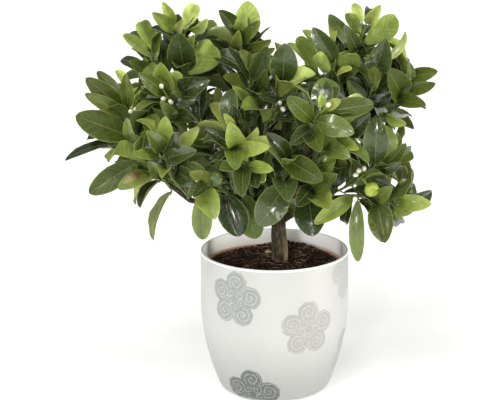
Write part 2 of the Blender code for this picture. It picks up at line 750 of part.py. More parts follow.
def rule_leaf(room, points, share, turn, draw, name):
    """A leaf of the spiral round a twig: it opens wide low down and stands up near the twig's tip."""
    for attempt in range(TRIES):
        place, direction = along(points, min(LAST_LEAF, share + draw.uniform(-STRAY_SHARE, STRAY_SHARE)))
        angle = turn + draw.uniform(-STRAY_TURN, STRAY_TURN) * (1 + STRAY_TURN_GROWTH * attempt)
        low, high = LEAF_OPENING
        opening = high + (low - high) * share + draw.uniform(-STRAY_OPENING, STRAY_OPENING)
        side = Matrix.Rotation(angle, 3, direction) @ direction.orthogonal().normalized()
        heading = direction * math.cos(opening) + side * math.sin(opening)
        shrink = 1.0 - SHRINK * attempt
        length = draw.uniform(*LEAF_LENGTH) * shrink
        width = length * draw.uniform(*LEAF_ASPECT)
        tip = place + heading * length
        facing = across(heading, direction + SKYWARD)
        facing = Matrix.Rotation(draw.uniform(-STRAY_ROLL, STRAY_ROLL), 3, heading) @ facing
        arch = draw.uniform(*ARCH) * length
        if tip.z < LOWEST_LEAF_Z or not inside_outline(tip):
            continue
        blade = Blade(place, place + heading * PETIOLE, tip, width, facing, arch,
                      draw.uniform(*TWIST))
        if try_blade(room, blade, name):
            return blade
    return None


def leaf_draw(name, number):
    """Each leaf's own random draw, so that one leaf more or less leaves the others as they are."""
    return random.Random(f"{SEED} {name} {number}")


def grow(room, twigs):
    """All leaves, spray by spray: first the ones that the viewer sees, then those of the rule."""
    blades = {spray.name: [] for spray in SPRAYS}
    for spray in SPRAYS:
        points = twigs[spray.name]
        for number, leaf in enumerate(spray.leaves):
            draw = leaf_draw(spray.name, number)
            blades[spray.name].append(seen_leaf(room, leaf, points, draw, spray.name))
    for spray in SPRAYS:
        points = twigs[spray.name]
        start = leaf_draw(spray.name, "turn").uniform(0, math.tau)
        for i in range(spray.extra):
            draw = leaf_draw(spray.name, len(spray.leaves) + i)
            share = FIRST_LEAF + (1 - FIRST_LEAF) * (i + 1) / spray.extra
            blade = rule_leaf(room, points, share, start + i * LEAF_TURN, draw, spray.name)
            blades[spray.name].append(blade)
    return {name: [blade for blade in placed if blade] for name, placed in blades.items()}


def wall_radius(z):
    """The cachepot's outer radius at a height above its foot's corner."""
    below = max(0.0, POT_STRAIGHT_FROM - z) / POT_STRAIGHT_FROM
    return POT_RADIUS - POT_TAPER * below ** 2


def arc(centre, radius, start, end, steps):
    angles = [start + (end - start) * i / steps for i in range(steps + 1)]
    return [(centre[0] + radius * math.cos(a), centre[1] + radius * math.sin(a)) for a in angles]


def build_pot(parts, finish):
    corner_z = POT_FOOT_CORNER * (1 - math.sin(POT_FOOT_SLOPE))
    corner_x = wall_radius(corner_z) - POT_FOOT_CORNER * math.cos(POT_FOOT_SLOPE)
    lip = arc((POT_RADIUS - POT_WALL / 2, POT_HEIGHT - POT_WALL / 2), POT_WALL / 2, math.pi, 0.0, 3)
    heights = [POT_STRAIGHT_FROM * share for share in (1.0, 0.72, 0.46, 0.24)]
    outer = [(wall_radius(z), z) for z in heights]
    foot = arc((corner_x, POT_FOOT_CORNER), POT_FOOT_CORNER, -POT_FOOT_SLOPE, -math.pi / 2, 2)
    inner_heights = [POT_FLOOR + POT_WALL, *reversed(heights[1:-1])]
    inner = [(wall_radius(z) - POT_WALL, z) for z in inner_heights]
    floor = [(0.0, POT_FLOOR), (inner[0][0] - POT_WALL, POT_FLOOR)]
    profile = floor + inner + lip + outer + foot + [(0.0, 0.0)]
    return turned("pot", profile, POT_SIDES, parts, finish)


def nursery_radius(z):
    """Outer radius of the nursery pot's tapered wall."""
    bottom = POT_FLOOR + GAP
    share = (z - bottom) / (NURSERY_RIM_Z - NURSERY_RIM_DEPTH - bottom)
    top = NURSERY_RIM_RADIUS - NURSERY_RIM_WALL
    return NURSERY_BASE_RADIUS + (top - NURSERY_BASE_RADIUS) * share


def build_nursery_pot(parts, cutters, finish):
    bottom = POT_FLOOR + GAP
    floor = bottom + NURSERY_WALL
    band = NURSERY_RIM_Z - NURSERY_RIM_DEPTH
    step = band - NURSERY_RIM_WALL
    rim = NURSERY_RIM_RADIUS
    profile = [(0.0, floor), (nursery_radius(floor) - NURSERY_WALL, floor),
               (nursery_radius(step) - NURSERY_WALL, step),
               (rim - NURSERY_RIM_WALL, band), (rim - NURSERY_RIM_WALL, NURSERY_RIM_Z),
               (rim, NURSERY_RIM_Z), (rim, band), (nursery_radius(step), step),
               (NURSERY_BASE_RADIUS, bottom), (0.0, bottom)]
    made = turned("nursery_pot", profile, NURSERY_SIDES, parts, finish)
    for i in range(DRAIN_HOLES):
        turn = math.tau * i / DRAIN_HOLES
        place = (DRAIN_CIRCLE * math.cos(turn), DRAIN_CIRCLE * math.sin(turn), bottom)
        add_cylinder("drain_cutter", place, DRAIN_RADIUS, 6 * NURSERY_WALL, 8, cutters)
    boolean(made, "DIFFERENCE", cutters)
    return made


def add_cylinder(name, place, radius, height, sides, collection):
    mesh = bpy.data.meshes.new(name)
    work = bmesh.new()
    bmesh.ops.create_cone(work, cap_ends=True, segments=sides, radius1=radius, radius2=radius, depth=height)
    work.to_mesh(mesh)
    work.free()
    made = add_object(name, mesh, collection)
    made.location = place
    made.hide_render = True
    made.display_type = "WIRE"
    return made


def build_soil(parts, cutters, finish):
    """The root ball: it follows the nursery pot's wall and is a little mounded on top."""
    bottom = POT_FLOOR + 2 * GAP + NURSERY_WALL
    band = NURSERY_RIM_Z - NURSERY_RIM_DEPTH
    step = band - NURSERY_RIM_WALL
    slack = NURSERY_WALL + GAP
    edge = NURSERY_RIM_RADIUS - NURSERY_RIM_WALL - GAP
    mound = [(edge * share, SOIL_CROWN_Z - (SOIL_CROWN_Z - SOIL_EDGE_Z) * share ** 2)
             for share in (0.0, 0.45, 0.8, 1.0)]
    wall = [(edge, band), (nursery_radius(step) - slack, step), (nursery_radius(bottom) - slack, bottom)]
    made = turned("soil", mound + wall + [(0.0, bottom)], NURSERY_SIDES, parts, finish)
    depth = 2 * (SOIL_CROWN_Z - TRUNK_HOLE_FLOOR_Z)
    place = (TRUNK_X, 0.0, TRUNK_HOLE_FLOOR_Z + depth / 2)
    add_cylinder("trunk_cutter", place, TRUNK_HOLE_RADIUS, depth, 12, cutters)
    boolean(made, "DIFFERENCE", cutters)
    return made


TRUNK = [(TRUNK_HOLE_FLOOR_Z + GAP, 6.8 * MM), (124 * MM, 6.8 * MM), (148 * MM, 7.4 * MM),
         (166 * MM, 7.0 * MM), (184 * MM, 4.6 * MM)]


def build_trunk(parts, tools, finish):
    """Trunk and limbs, grown together as one piece of wood."""
    points = [Vector((TRUNK_X, 0.0, z)) for z, _ in TRUNK]
    trunk = tube("trunk", points, [radius for _, radius in TRUNK], TRUNK_SIDES_STEP, parts, finish)
    for name in LIMBS:
        points = limb_points(name)
        tube("limb_" + name, points, tapered(LIMB_RADIUS, len(points)), LIMB_SIDES_STEP, tools, finish)
    boolean(trunk, "UNION", tools)
    return trunk


def stalked(cluster, room, points, ball, stalk_radius, parts, tools, finish):
    """Round bodies on thin stalks, which part from one short stalk where the twig has room for it."""
    heads = [seen(*place) for place in cluster.places]
    for root, direction, share in nearest_on_twig(points, cluster.places[0]):
        outward = across(direction, heads[0] - root)
        start = root + outward * (twig_radius(share) + STALK_GAP)
        fork = (start + outward * 2 * stalk_radius).lerp(heads[0], FORK_SHARE)
        made = tube(cluster.name, [start, fork, heads[0]], [stalk_radius] * 3, 0, parts, finish)
        for head in heads[1:]:
            tube("stalk", [fork, fork.lerp(head, 0.5), head], [stalk_radius] * 3, 0, tools, finish)
        for head in heads:
            add_object("head", ball(head, (head - fork).normalized()), tools, finish)
        boolean(made, "UNION", tools)
        if room.is_free(*object_shape(made), lambda owner: True):
            break
        bpy.data.objects.remove(made)
    room.add(*object_shape(made), cluster.name)


def fruit_ball(place, direction):
    return ball_mesh("fruit", place, direction, FRUIT_RADIUS, FRUIT_LENGTH, 12, 8)


def bud_ball(place, direction):
    return ball_mesh("bud", place, direction, BUD_RADIUS, BUD_LENGTH, 5, 4)


def ball_mesh(name, place, direction, radius, stretch, segments, rings):
    mesh = bpy.data.meshes.new(name)
    work = bmesh.new()
    bmesh.ops.create_uvsphere(work, u_segments=segments, v_segments=rings, radius=radius)
    turn = direction.to_track_quat("Z", "Y").to_matrix().to_4x4()
    shape = Matrix.Translation(place) @ turn @ Matrix.Diagonal((1.0, 1.0, stretch, 1.0))
    bmesh.ops.transform(work, matrix=shape, verts=work.verts)
    work.to_mesh(mesh)
    work.free()
    mesh.shade_smooth()
    return mesh


def build():
    fresh_scene()
    parts = new_collection("potted_calamondin")
    tools = new_collection("joining")
    glaze = material("white_glaze", (0.86, 0.86, 0.87), 0.35)
    brown = material("terracotta_plastic", (0.25, 0.12, 0.08), 0.5)
    earth = material("potting_soil", (0.045, 0.03, 0.022), 0.95)
    bark = material("bark", (0.12, 0.09, 0.05), 0.85)
    green = material("leaf_green", (0.07, 0.16, 0.03), 0.4)
    rind = material("unripe_rind", (0.22, 0.36, 0.05), 0.45)
    petal = material("petal_white", (0.85, 0.85, 0.78), 0.6)

    build_pot(parts, glaze)
    build_nursery_pot(parts, tools, brown)
    build_soil(parts, tools, earth)
    trunk = build_trunk(parts, tools, bark)

    room = Room()
    room.add(*object_shape(trunk), "trunk")
    twigs = {spray.name: twig_points(spray) for spray in SPRAYS}
    stems = {}
    for name, points in twigs.items():
        stems[name] = tube(name, points, tapered(TWIG_RADIUS, len(points)), TWIG_SIDES_STEP, parts, green)
        room.add(*object_shape(stems[name]), name)
    for cluster in FRUITS:
        stalked(cluster, room, twigs[cluster.spray], fruit_ball, FRUIT_STALK_RADIUS, parts, tools, rind)
    for cluster in BUDS:
        stalked(cluster, room, twigs[cluster.spray], bud_ball, BUD_STALK_RADIUS, parts, tools, petal)

    for name, blades in grow(room, twigs).items():
        for blade in blades:
            add_object("leaf", blade.mesh("leaf"), tools, green)
        boolean(stems[name], "UNION", tools)
    bpy.data.collections.remove(tools)


build()
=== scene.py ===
"""Looks of the potted calamondin: finer leaves, wood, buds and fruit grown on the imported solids, and all
finishes.

Metres, +Z up. The viewer of the photograph stands at -Y. Sizes are named in millimetres times MM.
"""

import colorsys
import math
import random
from collections import namedtuple

import bmesh
import bpy
from mathutils import Matrix, Vector, noise
from mathutils.kdtree import KDTree


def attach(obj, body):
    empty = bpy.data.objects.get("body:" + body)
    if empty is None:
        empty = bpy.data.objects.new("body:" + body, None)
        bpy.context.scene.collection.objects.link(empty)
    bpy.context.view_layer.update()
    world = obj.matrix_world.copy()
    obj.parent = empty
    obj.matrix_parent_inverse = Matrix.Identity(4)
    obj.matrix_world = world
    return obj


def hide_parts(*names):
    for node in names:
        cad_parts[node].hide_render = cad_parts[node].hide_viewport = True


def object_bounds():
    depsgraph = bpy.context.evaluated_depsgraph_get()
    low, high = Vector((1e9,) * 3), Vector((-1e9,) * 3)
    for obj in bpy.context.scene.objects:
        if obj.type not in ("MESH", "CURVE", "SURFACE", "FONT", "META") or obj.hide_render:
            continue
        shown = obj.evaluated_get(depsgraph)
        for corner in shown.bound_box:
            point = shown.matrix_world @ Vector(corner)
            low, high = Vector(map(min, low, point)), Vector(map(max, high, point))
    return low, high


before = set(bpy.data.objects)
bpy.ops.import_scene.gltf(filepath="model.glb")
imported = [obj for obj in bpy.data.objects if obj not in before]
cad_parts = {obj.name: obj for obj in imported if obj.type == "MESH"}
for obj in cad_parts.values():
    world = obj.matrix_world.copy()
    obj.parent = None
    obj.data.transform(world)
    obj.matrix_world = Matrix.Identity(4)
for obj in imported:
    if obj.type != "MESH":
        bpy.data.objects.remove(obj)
CAD_BOX = [list(corner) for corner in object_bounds()]

MM = 0.001
GAP = 0.35 * MM

# The growth rule of the solids, repeated here so that each fine leaf lies where its solid does
POT_HEIGHT = 136 * MM
POT_RADIUS = 70 * MM
TRUNK_X = 4 * MM
LIMB_RADIUS = (3.6 * MM, 1.9 * MM)
TWIG_RADIUS = (1.5 * MM, 0.8 * MM)
TWIG_HEEL = 3 * MM
EYE_DISTANCE = 2200 * MM
EYE_ELEVATION = math.radians(17)
SEED = 1117
LOWEST_LEAF_Z = 150 * MM
LEAF_LENGTH = (34 * MM, 52 * MM)
LEAF_ASPECT = (0.44, 0.54)
LEAF_OPENING = (math.radians(38), math.radians(68))
LEAF_TURN = math.radians(137.5)
PETIOLE = 5 * MM
SHORT_PETIOLE = 3 * MM
TRIES = 14
# A seen leaf is taken to be this long in mm. Of what the viewer doesn't see of it, this share lies in depth
FULL_LENGTH = 44
DEPTH_SHARE = 0.75
# Where on its twig the first and the last leaf of the spiral stand, and at how many places twigs are tried
FIRST_LEAF = 0.25
LAST_LEAF = 0.96
TWIG_STEPS = 24
# Rise of a blade's arch as a share of its length, twist in radians along it and where it isn't twisted
SEEN_ARCH = (0.02, 0.08)
ARCH = (0.03, 0.1)
TWIST = (-0.3, 0.3)
UNTWISTED_AT = 0.3
SKYWARD = Vector((0.0, 0.0, 0.6))
# How far leaves stray from their rule: depth and foot in mm, roll of a seen leaf in degrees, then share of
# the twig and angles in radians. Each further try of a spiral's leaf turns more and is shorter by SHRINK
STRAY_RISE = 18
STRAY_FRONT = 6
STRAY_SEEN_ROLL = 14
STRAY_SHARE = 0.03
STRAY_TURN = 0.25
STRAY_TURN_GROWTH = 0.2
STRAY_OPENING = 0.2
STRAY_ROLL = 0.4
SHRINK = 0.025
# Fruit and buds: length as a share of width; a stalk forks at a share of the way to its first head
FRUIT_RADIUS = 6.8 * MM
FRUIT_LENGTH = 0.94
FRUIT_STALK_RADIUS = 0.9 * MM
BUD_RADIUS = 2.2 * MM
BUD_LENGTH = 1.35
BUD_STALK_RADIUS = 0.6 * MM
STALK_GAP = 1.6 * GAP
FORK_SHARE = 0.3
# How near a fine leaf's tip lies to its solid's
SAME_PLACE = 0.01 * MM

# Places in the crown are (right, up, front): mm to the right of the pot's axis and above the rim's
# centre as the viewer sees them, and mm in front of the axis
Spray = namedtuple("Spray", "name limb at extra path leaves", defaults=[()])
# A leaf that the viewer sees: base and tip as (right, up), width in mm, how much nearer the tip is than
# the base in mm, roll about its length in degrees, and the look of its surface
Leaf = namedtuple("Leaf", "base tip width rise roll look")
Cluster = namedtuple("Cluster", "name spray places")

LIMBS = {
    "left": [(4, 21, 0), (-12, 33, 16), (-34, 39, 32), (-57, 41, 44),
             (-80, 46, 50), (-97, 59, 51), (-110, 76, 50)],
    "left_up": [(4, 33, 0), (-17, 61, 4), (-44, 88, 8), (-67, 114, 12), (-80, 137, 14)],
    "top": [(4, 41, 0), (-12, 79, -10), (-23, 117, -16), (-28, 152, -18)],
    "front": [(4, 29, 0), (-2, 50, 36), (-12, 69, 62), (-19, 84, 80)],
    "front_right": [(4, 31, 0), (17, 56, 36), (27, 79, 60), (32, 98, 72)],
    "right_up": [(4, 37, 0), (24, 69, -4), (45, 101, -4), (60, 129, -4)],
    "right": [(4, 25, 0), (28, 40, 22), (51, 47, 40), (72, 50, 50)],
    "right_out": [(4, 42, 0), (38, 74, -20), (72, 103, -20), (100, 124, -16)],
    "back_left": [(4, 37, 0), (-28, 65, -40), (-56, 93, -66), (-80, 114, -84)],
    "back": [(4, 41, 0), (-2, 79, -50), (-6, 112, -84)],
    "back_right": [(4, 35, 0), (34, 67, -44), (57, 95, -74), (73, 114, -90)],
}

SPRAYS = [
    Spray("left_top", "left", 1.0, 8, [(-121, 91, 50), (-133, 105, 50), (-138, 124, 47), (-140, 141, 42)], [
        ((-137, 129), (-179, 162), 17, 10, 0, "deep"), ((-138, 137), (-168, 168), 11, -14, 10, "deep"),
        ((-138, 123), (-180, 147), 13, 8, 15, "mid"), ((-134, 103), (-189, 126), 26, 14, 0, "deep"),
        ((-133, 97), (-199, 83), 16, 12, 60, "dark"), ((-131, 96), (-153, 91), 12, -10, 30, "dark"),
        ((-137, 132), (-141, 166), 12, 2, 10, "mid"), ((-139, 148), (-149, 169), 9, -4, 30, "young"),
        ((-129, 101), (-139, 124), 12, 16, -35, "mid")]),
    Spray("left_low", "left", 0.86, 5, [(-108, 69, 58), (-118, 77, 64), (-128, 85, 66)], [
        ((-129, 85), (-176, 52), 21, 12, 0, "deep"), ((-115, 73), (-148, 56), 15, 10, 20, "dry"),
        ((-106, 67), (-127, 38), 14, 6, 55, "dark"), ((-110, 70), (-131, 42), 14, -4, 60, "bright"),
        ((-108, 70), (-120, 83), 13, 14, 0, "mid"), ((-97, 54), (-114, 7), 11, 2, 50, "curl")]),
    Spray("left_front", "left", 0.74, 5, [(-97, 67, 70), (-103, 84, 80), (-108, 101, 86)], [
        ((-110, 87), (-133, 89), 11, 12, 20, "mid"), ((-107, 91), (-121, 112), 14, 8, 10, "mid"),
        ((-106, 93), (-103, 126), 16, 10, 0, "bright"), ((-104, 90), (-94, 111), 13, 16, 50, "dark"),
        ((-103, 86), (-73, 93), 17, 14, 0, "gloss"), ((-99, 91), (-71, 116), 13, 5, 15, "bright")]),
    Spray("left_mid", "left_up", 0.8, 4, [(-80, 129, 34), (-91, 139, 50), (-101, 146, 60)], [
        ((-97, 126), (-108, 140), 11, 12, 0, "mid"), ((-96, 140), (-73, 143), 10, 4, 30, "dark"),
        ((-103, 147), (-129, 167), 14, 8, 0, "deep"), ((-103, 152), (-108, 177), 20, 10, 0, "bright"),
        ((-91, 146), (-94, 168), 11, 6, 160, "under"), ((-88, 147), (-61, 160), 21, 14, 0, "dark"),
        ((-108, 137), (-131, 130), 11, 6, 60, "mid")]),
    Spray("top_left", "left_up", 1.0, 5, [(-83, 158, 14), (-88, 184, 14), (-92, 207, 12)], [
        ((-95, 214), (-106, 234), 9, 0, 0, "young"), ((-96, 208), (-116, 224), 13, 5, 0, "bright"),
        ((-86, 207), (-74, 231), 14, -2, 0, "young"), ((-80, 207), (-63, 218), 11, 2, 50, "young"),
        ((-78, 197), (-65, 212), 9, -5, 60, "dark"), ((-91, 203), (-86, 217), 9, 6, 0, "bright"),
        ((-87, 167), (-91, 205), 26, 20, 0, "gloss"), ((-86, 164), (-58, 193), 26, 10, 180, "under"),
        ((-86, 184), (-76, 203), 11, 4, 20, "bright")]),
    Spray("top_left_out", "left_up", 0.62, 5,
          [(-86, 133, 8), (-103, 154, 4), (-114, 173, 2), (-118, 184, 0)], [
        ((-115, 188), (-126, 215), 14, 2, 180, "under"), ((-118, 182), (-143, 203), 11, 4, 150, "under"),
        ((-118, 186), (-137, 204), 11, -12, 30, "dark"), ((-120, 177), (-133, 188), 10, -6, 30, "dark"),
        ((-118, 165), (-145, 179), 12, -8, 20, "dark"), ((-116, 164), (-138, 178), 14, 10, 0, "mid"),
        ((-115, 165), (-124, 181), 9, 6, 0, "bright")]),
    Spray("top_mid", "top", 1.0, 4, [(-30, 173, -16), (-31, 190, -13), (-30, 201, -10)], [
        ((-27, 197), (-25, 235), 24, -4, 175, "young"), ((-32, 207), (-28, 226), 12, 6, 0, "young"),
        ((-34, 201), (-53, 226), 15, 4, 20, "gloss"), ((-32, 194), (-21, 211), 11, 8, 0, "mid"),
        ((-25, 194), (-3, 198), 12, 5, 50, "bright"), ((-31, 188), (1, 190), 12, 8, 50, "bright"),
        ((-36, 180), (-65, 196), 12, 4, 50, "dark"), ((-36, 190), (-34, 207), 11, 12, 0, "bright")]),
    Spray("top_mid_front", "top", 0.7, 7, [(-21, 137, 14), (-23, 152, 26), (-23, 167, 32)], [
        ((-26, 158), (-45, 190), 13, 6, 50, "dark"), ((-21, 167), (-33, 188), 12, 5, 30, "mid"),
        ((-20, 160), (-6, 192), 16, 4, 0, "gloss"), ((-18, 148), (-9, 170), 11, 10, 30, "mid"),
        ((-26, 141), (-40, 154), 9, 10, 0, "young"), ((-27, 139), (-53, 175), 15, -10, 20, "dark")]),
    Spray("top_right_front", "top", 0.42, 7, [(-8, 118, 36), (2, 133, 50), (7, 150, 56)], [
        ((8, 158), (10, 195), 25, 8, 0, "gloss"), ((2, 134), (-15, 144), 12, 6, 30, "dark")]),
    Spray("right_top", "right_up", 1.0, 4, [(69, 154, 0), (76, 179, 3), (83, 203, 2)], [
        ((83, 214), (75, 232), 9, -2, 0, "young"), ((90, 213), (101, 231), 12, 0, 0, "young"),
        ((87, 213), (90, 227), 9, -8, 0, "dark"), ((85, 194), (116, 219), 21, 8, 180, "under"),
        ((81, 203), (69, 223), 11, 2, 160, "under"), ((76, 188), (66, 212), 12, 8, 0, "gloss"),
        ((75, 184), (51, 222), 13, 2, 20, "deep"), ((79, 188), (76, 204), 9, 14, 30, "young"),
        ((71, 160), (72, 185), 21, 16, 180, "under")]),
    Spray("right_top_in", "right_up", 0.66, 4, [(51, 127, 14), (54, 156, 22), (54, 175, 22)], [
        ((56, 177), (36, 210), 18, 8, 0, "gloss"), ((49, 180), (26, 207), 13, 0, 20, "bright"),
        ((45, 175), (21, 200), 13, 8, 170, "under"), ((54, 194), (52, 219), 9, -8, 30, "bright"),
        ((57, 179), (61, 205), 11, -6, 20, "dark"), ((53, 165), (40, 184), 12, 8, 170, "young"),
        ((54, 141), (55, 171), 26, 20, 0, "dark"), ((43, 148), (26, 174), 14, 6, 10, "mid"),
        ((41, 163), (12, 195), 12, -8, 40, "bright")]),
    Spray("right_out_top", "right_out", 0.7, 6, [(85, 129, 8), (92, 150, 18), (96, 171, 24)], [
        ((96, 171), (105, 200), 23, 8, 0, "gloss"), ((100, 177), (124, 206), 11, -6, 50, "bright"),
        ((96, 150), (92, 183), 15, 14, 170, "bright"), ((87, 141), (111, 148), 15, 16, 40, "dark"),
        ((83, 137), (69, 160), 15, 10, 0, "deep")]),
    Spray("right_far", "right_out", 1.0, 5, [(111, 135, -12), (120, 146, -10), (125, 160, -8)], [
        ((127, 161), (155, 168), 14, 2, 0, "mid"), ((125, 156), (127, 177), 9, 6, 30, "mid"),
        ((124, 150), (153, 157), 13, 10, 20, "mid"), ((117, 141), (144, 135), 14, 8, 0, "mid"),
        ((110, 133), (127, 126), 9, -6, 60, "dark"), ((106, 127), (125, 118), 11, 4, 40, "young"),
        ((120, 145), (106, 171), 23, 14, 0, "deep"), ((106, 130), (94, 147), 17, 20, 0, "dark")]),
    Spray("centre_right", "front_right", 1.0, 3, [(35, 110, 84), (39, 124, 92), (45, 131, 96)], [
        ((37, 120), (12, 144), 16, 8, 0, "deep"), ((39, 124), (37, 150), 9, -6, 70, "bright"),
        ((45, 133), (44, 147), 8, 2, 20, "young"), ((48, 133), (53, 148), 7, -4, 20, "young"),
        ((49, 132), (63, 141), 9, 4, 0, "bright"), ((41, 120), (76, 109), 19, 6, 0, "mid"),
        ((45, 127), (95, 137), 18, -8, 0, "deep"), ((33, 114), (14, 98), 14, 10, 0, "dark"),
        ((35, 112), (44, 91), 20, 14, 0, "mid")]),
    Spray("centre_right_low", "front_right", 0.62, 6, [(41, 90, 74), (53, 99, 80), (64, 107, 82)], [
        ((48, 97), (72, 86), 16, 14, 0, "mid"), ((63, 107), (80, 94), 11, 8, 20, "bright"),
        ((70, 109), (91, 129), 15, 0, 10, "dark")]),
    Spray("centre_left", "front", 1.0, 3, [(-26, 93, 90), (-34, 101, 95), (-40, 110, 96)], [
        ((-35, 97), (-42, 120), 17, 14, 0, "bright"), ((-38, 97), (-66, 115), 13, 6, 0, "dark"),
        ((-34, 93), (-72, 103), 11, -6, 55, "bright"), ((-40, 112), (-48, 128), 8, 2, 20, "bright"),
        ((-33, 93), (-4, 97), 14, 12, 0, "bright"), ((-33, 101), (-16, 115), 11, 4, 40, "young"),
        ((-38, 95), (-37, 74), 17, 10, 0, "mid"), ((-36, 112), (-39, 137), 15, 4, 0, "dark"),
        ((-42, 109), (-60, 138), 12, -6, 10, "bright")]),
    Spray("centre_low", "front", 0.72, 5, [(-19, 73, 82), (-27, 80, 92)], [
        ((-27, 81), (-1, 74), 11, 14, 0, "bright"), ((-23, 74), (-16, 57), 17, 10, 0, "gloss"),
        ((-28, 76), (-30, 48), 16, 14, 0, "gloss")]),
    Spray("over_trunk", "front", 0.34, 6, [(4, 57, 56), (11, 69, 72), (13, 80, 80)], [
        ((11, 61), (-15, 21), 28, 12, 0, "gloss"), ((12, 84), (46, 64), 21, 14, 0, "deep"),
        ((13, 82), (-8, 110), 15, 0, 20, "dark")]),
    Spray("over_trunk_right", "right", 0.4, 6, [(32, 50, 42), (37, 61, 56)], [
        ((33, 50), (37, 11), 31, 16, 0, "dark"), ((38, 61), (60, 71), 17, 8, 0, "mid"),
        ((37, 59), (20, 40), 16, 12, 0, "dark")]),
    Spray("low_left", "left", 0.36, 5, [(-44, 52, 54), (-53, 59, 66), (-67, 61, 74)], [
        ((-67, 56), (-56, 27), 21, 10, 0, "bright"), ((-65, 56), (-68, 8), 19, -2, 10, "mid"),
        ((-46, 56), (-33, 11), 27, 12, 0, "dark"), ((-55, 63), (-81, 72), 12, 8, 30, "bright"),
        ((-64, 61), (-77, 48), 12, 12, 0, "gloss")]),
    Spray("low_mid_left", "left", 0.2, 6, [(-27, 50, 44), (-29, 59, 60)], [
        ((-27, 54), (-17, 9), 25, 6, 10, "deep"), ((-29, 57), (-42, 76), 17, 10, 0, "dark")]),
    Spray("right_low", "right", 1.0, 4, [(89, 48, 56), (105, 44, 58), (117, 43, 58)], [
        ((115, 44), (149, 42), 16, 8, 0, "bright"), ((111, 46), (149, 55), 14, -12, 20, "dark"),
        ((96, 44), (105, 5), 23, 8, 0, "deep"), ((79, 46), (79, -13), 14, 4, 10, "mid"),
        ((97, 46), (112, 59), 13, 12, 0, "mid"), ((107, 42), (119, 24), 12, -6, 20, "dark"),
        ((75, 49), (37, 23), 15, 22, 0, "bright"), ((111, 41), (131, 35), 10, 14, 40, "mid"),
        ((73, 47), (67, 24), 10, -12, 20, "dark")]),
    Spray("right_mid", "right", 0.82, 5, [(77, 63, 60), (89, 74, 66), (102, 82, 68)], [
        ((94, 78), (97, 125), 23, 4, 0, "gloss"), ((102, 84), (118, 109), 11, -8, 20, "deep"),
        ((104, 82), (125, 100), 12, 4, 20, "deep"), ((104, 81), (129, 93), 13, -10, 10, "deep"),
        ((98, 78), (120, 82), 12, 14, 40, "dark")]),
    Spray("back_left_end", "back_left", 1.0, 11, [(-98, 128, -96), (-114, 140, -104)]),
    Spray("back_left_low", "back_left", 0.6, 11, [(-72, 80, -84), (-90, 72, -98)]),
    Spray("back_left_high", "back_left", 0.85, 11, [(-78, 134, -68), (-82, 162, -72)]),
    Spray("left_rear", "left_up", 0.45, 12, [(-76, 104, -22), (-112, 116, -42), (-134, 122, -50)]),
    Spray("left_rear_low", "left_up", 0.3, 11, [(-56, 76, -30), (-92, 70, -58), (-108, 72, -66)]),
    Spray("back_end", "back", 1.0, 11, [(-8, 128, -100), (-10, 146, -110)]),
    Spray("back_low", "back", 0.6, 11, [(4, 90, -86), (12, 82, -108)]),
    Spray("back_left_inner", "back", 0.82, 11, [(-30, 122, -92), (-50, 124, -106)]),
    Spray("back_right_inner", "back", 0.7, 11, [(20, 118, -86), (32, 138, -100)]),
    Spray("back_right_end", "back_right", 1.0, 11, [(86, 122, -100), (98, 134, -106)]),
    Spray("back_right_low", "back_right", 0.6, 11, [(62, 80, -90), (78, 70, -106)]),
    Spray("back_right_high", "back_right", 0.85, 11, [(68, 134, -72), (74, 160, -70)]),
    Spray("right_rear", "right_out", 0.55, 11, [(90, 92, -46), (114, 84, -64)]),
    Spray("top_rear_left", "top", 0.8, 11, [(-44, 156, -46), (-58, 182, -52)]),
    Spray("top_rear_right", "right_up", 0.8, 11, [(56, 142, -32), (58, 170, -42)]),
    Spray("top_rear", "top", 0.55, 11, [(-10, 128, -44), (2, 150, -58)]),
]

FRUITS = [Cluster("fruit_right", "right_mid", [(92, 56, 76)]),
          Cluster("fruit_left", "low_left", [(-55, 67, 86)])]
# The left fruit's rind is a darker copy of the same rind: painted shade
SKINS = {"fruit_right": "rind", "fruit_left": "rind_painted_shade"}
BUDS = [Cluster("buds_left", "left_mid", [(-105, 142, 72), (-98, 139, 66), (-107, 154, 76)]),
        Cluster("buds_centre", "centre_right", [(51, 136, 106)]),
        Cluster("buds_right", "right_mid", [(85, 76, 76), (77, 70, 76), (80, 74, 80)]),
        Cluster("buds_top", "top_right_front", [(5, 138, 64), (8, 132, 62)]),
        Cluster("buds_far_left", "left_top", [(-136, 130, 58), (-131, 132, 58)])]
# Outline of the crown as the viewer sees it: ellipses (right, up, half width, half height) in mm
LOBES = [(-118, 117, 66, 54), (-87, 180, 40, 46), (-25, 167, 36, 58), (73, 173, 48, 52),
         (107, 133, 37, 39), (-4, 93, 94, 73), (100, 56, 37, 42), (-12, 46, 68, 33)]

# Looks of the leaves: colour of the upper side, roughness of its wax, fold, cup, wave and dry patch
Look = namedtuple("Look", "colour roughness fold cup wave dry")
# Seen leaves took the look nearest their seen lightness: darker looks are partly painted shade, lighter ones
# partly painted light
LOOKS = {
    "young": Look("#c1d271", 0.38, 0.16, 0.26, 0.04, 0.0),
    "bright": Look("#98a74c", 0.30, 0.20, 0.30, 0.05, 0.0),
    "mid": Look("#6c7c35", 0.24, 0.22, 0.30, 0.05, 0.0),
    "deep": Look("#4b5b14", 0.40, 0.18, 0.26, 0.05, 0.0),
    "gloss": Look("#48582c", 0.17, 0.15, 0.28, 0.05, 0.0),
    "dark": Look("#303e1f", 0.20, 0.20, 0.33, 0.05, 0.0),
    "under": Look("#c3d66f", 0.45, 0.16, 0.20, 0.04, 0.0),
    "dry": Look("#6d7c36", 0.42, 0.22, 0.16, 0.06, 0.8),
    "curl": Look("#6c7941", 0.45, 0.45, 0.50, 0.10, 0.2),
}
RULE_LOOKS = ("dark", "dark", "mid", "mid", "gloss", "bright")
TIP_LOOKS = ("bright", "bright", "young", "mid")
FILL_LOOKS = ("dark", "dark", "gloss", "mid")
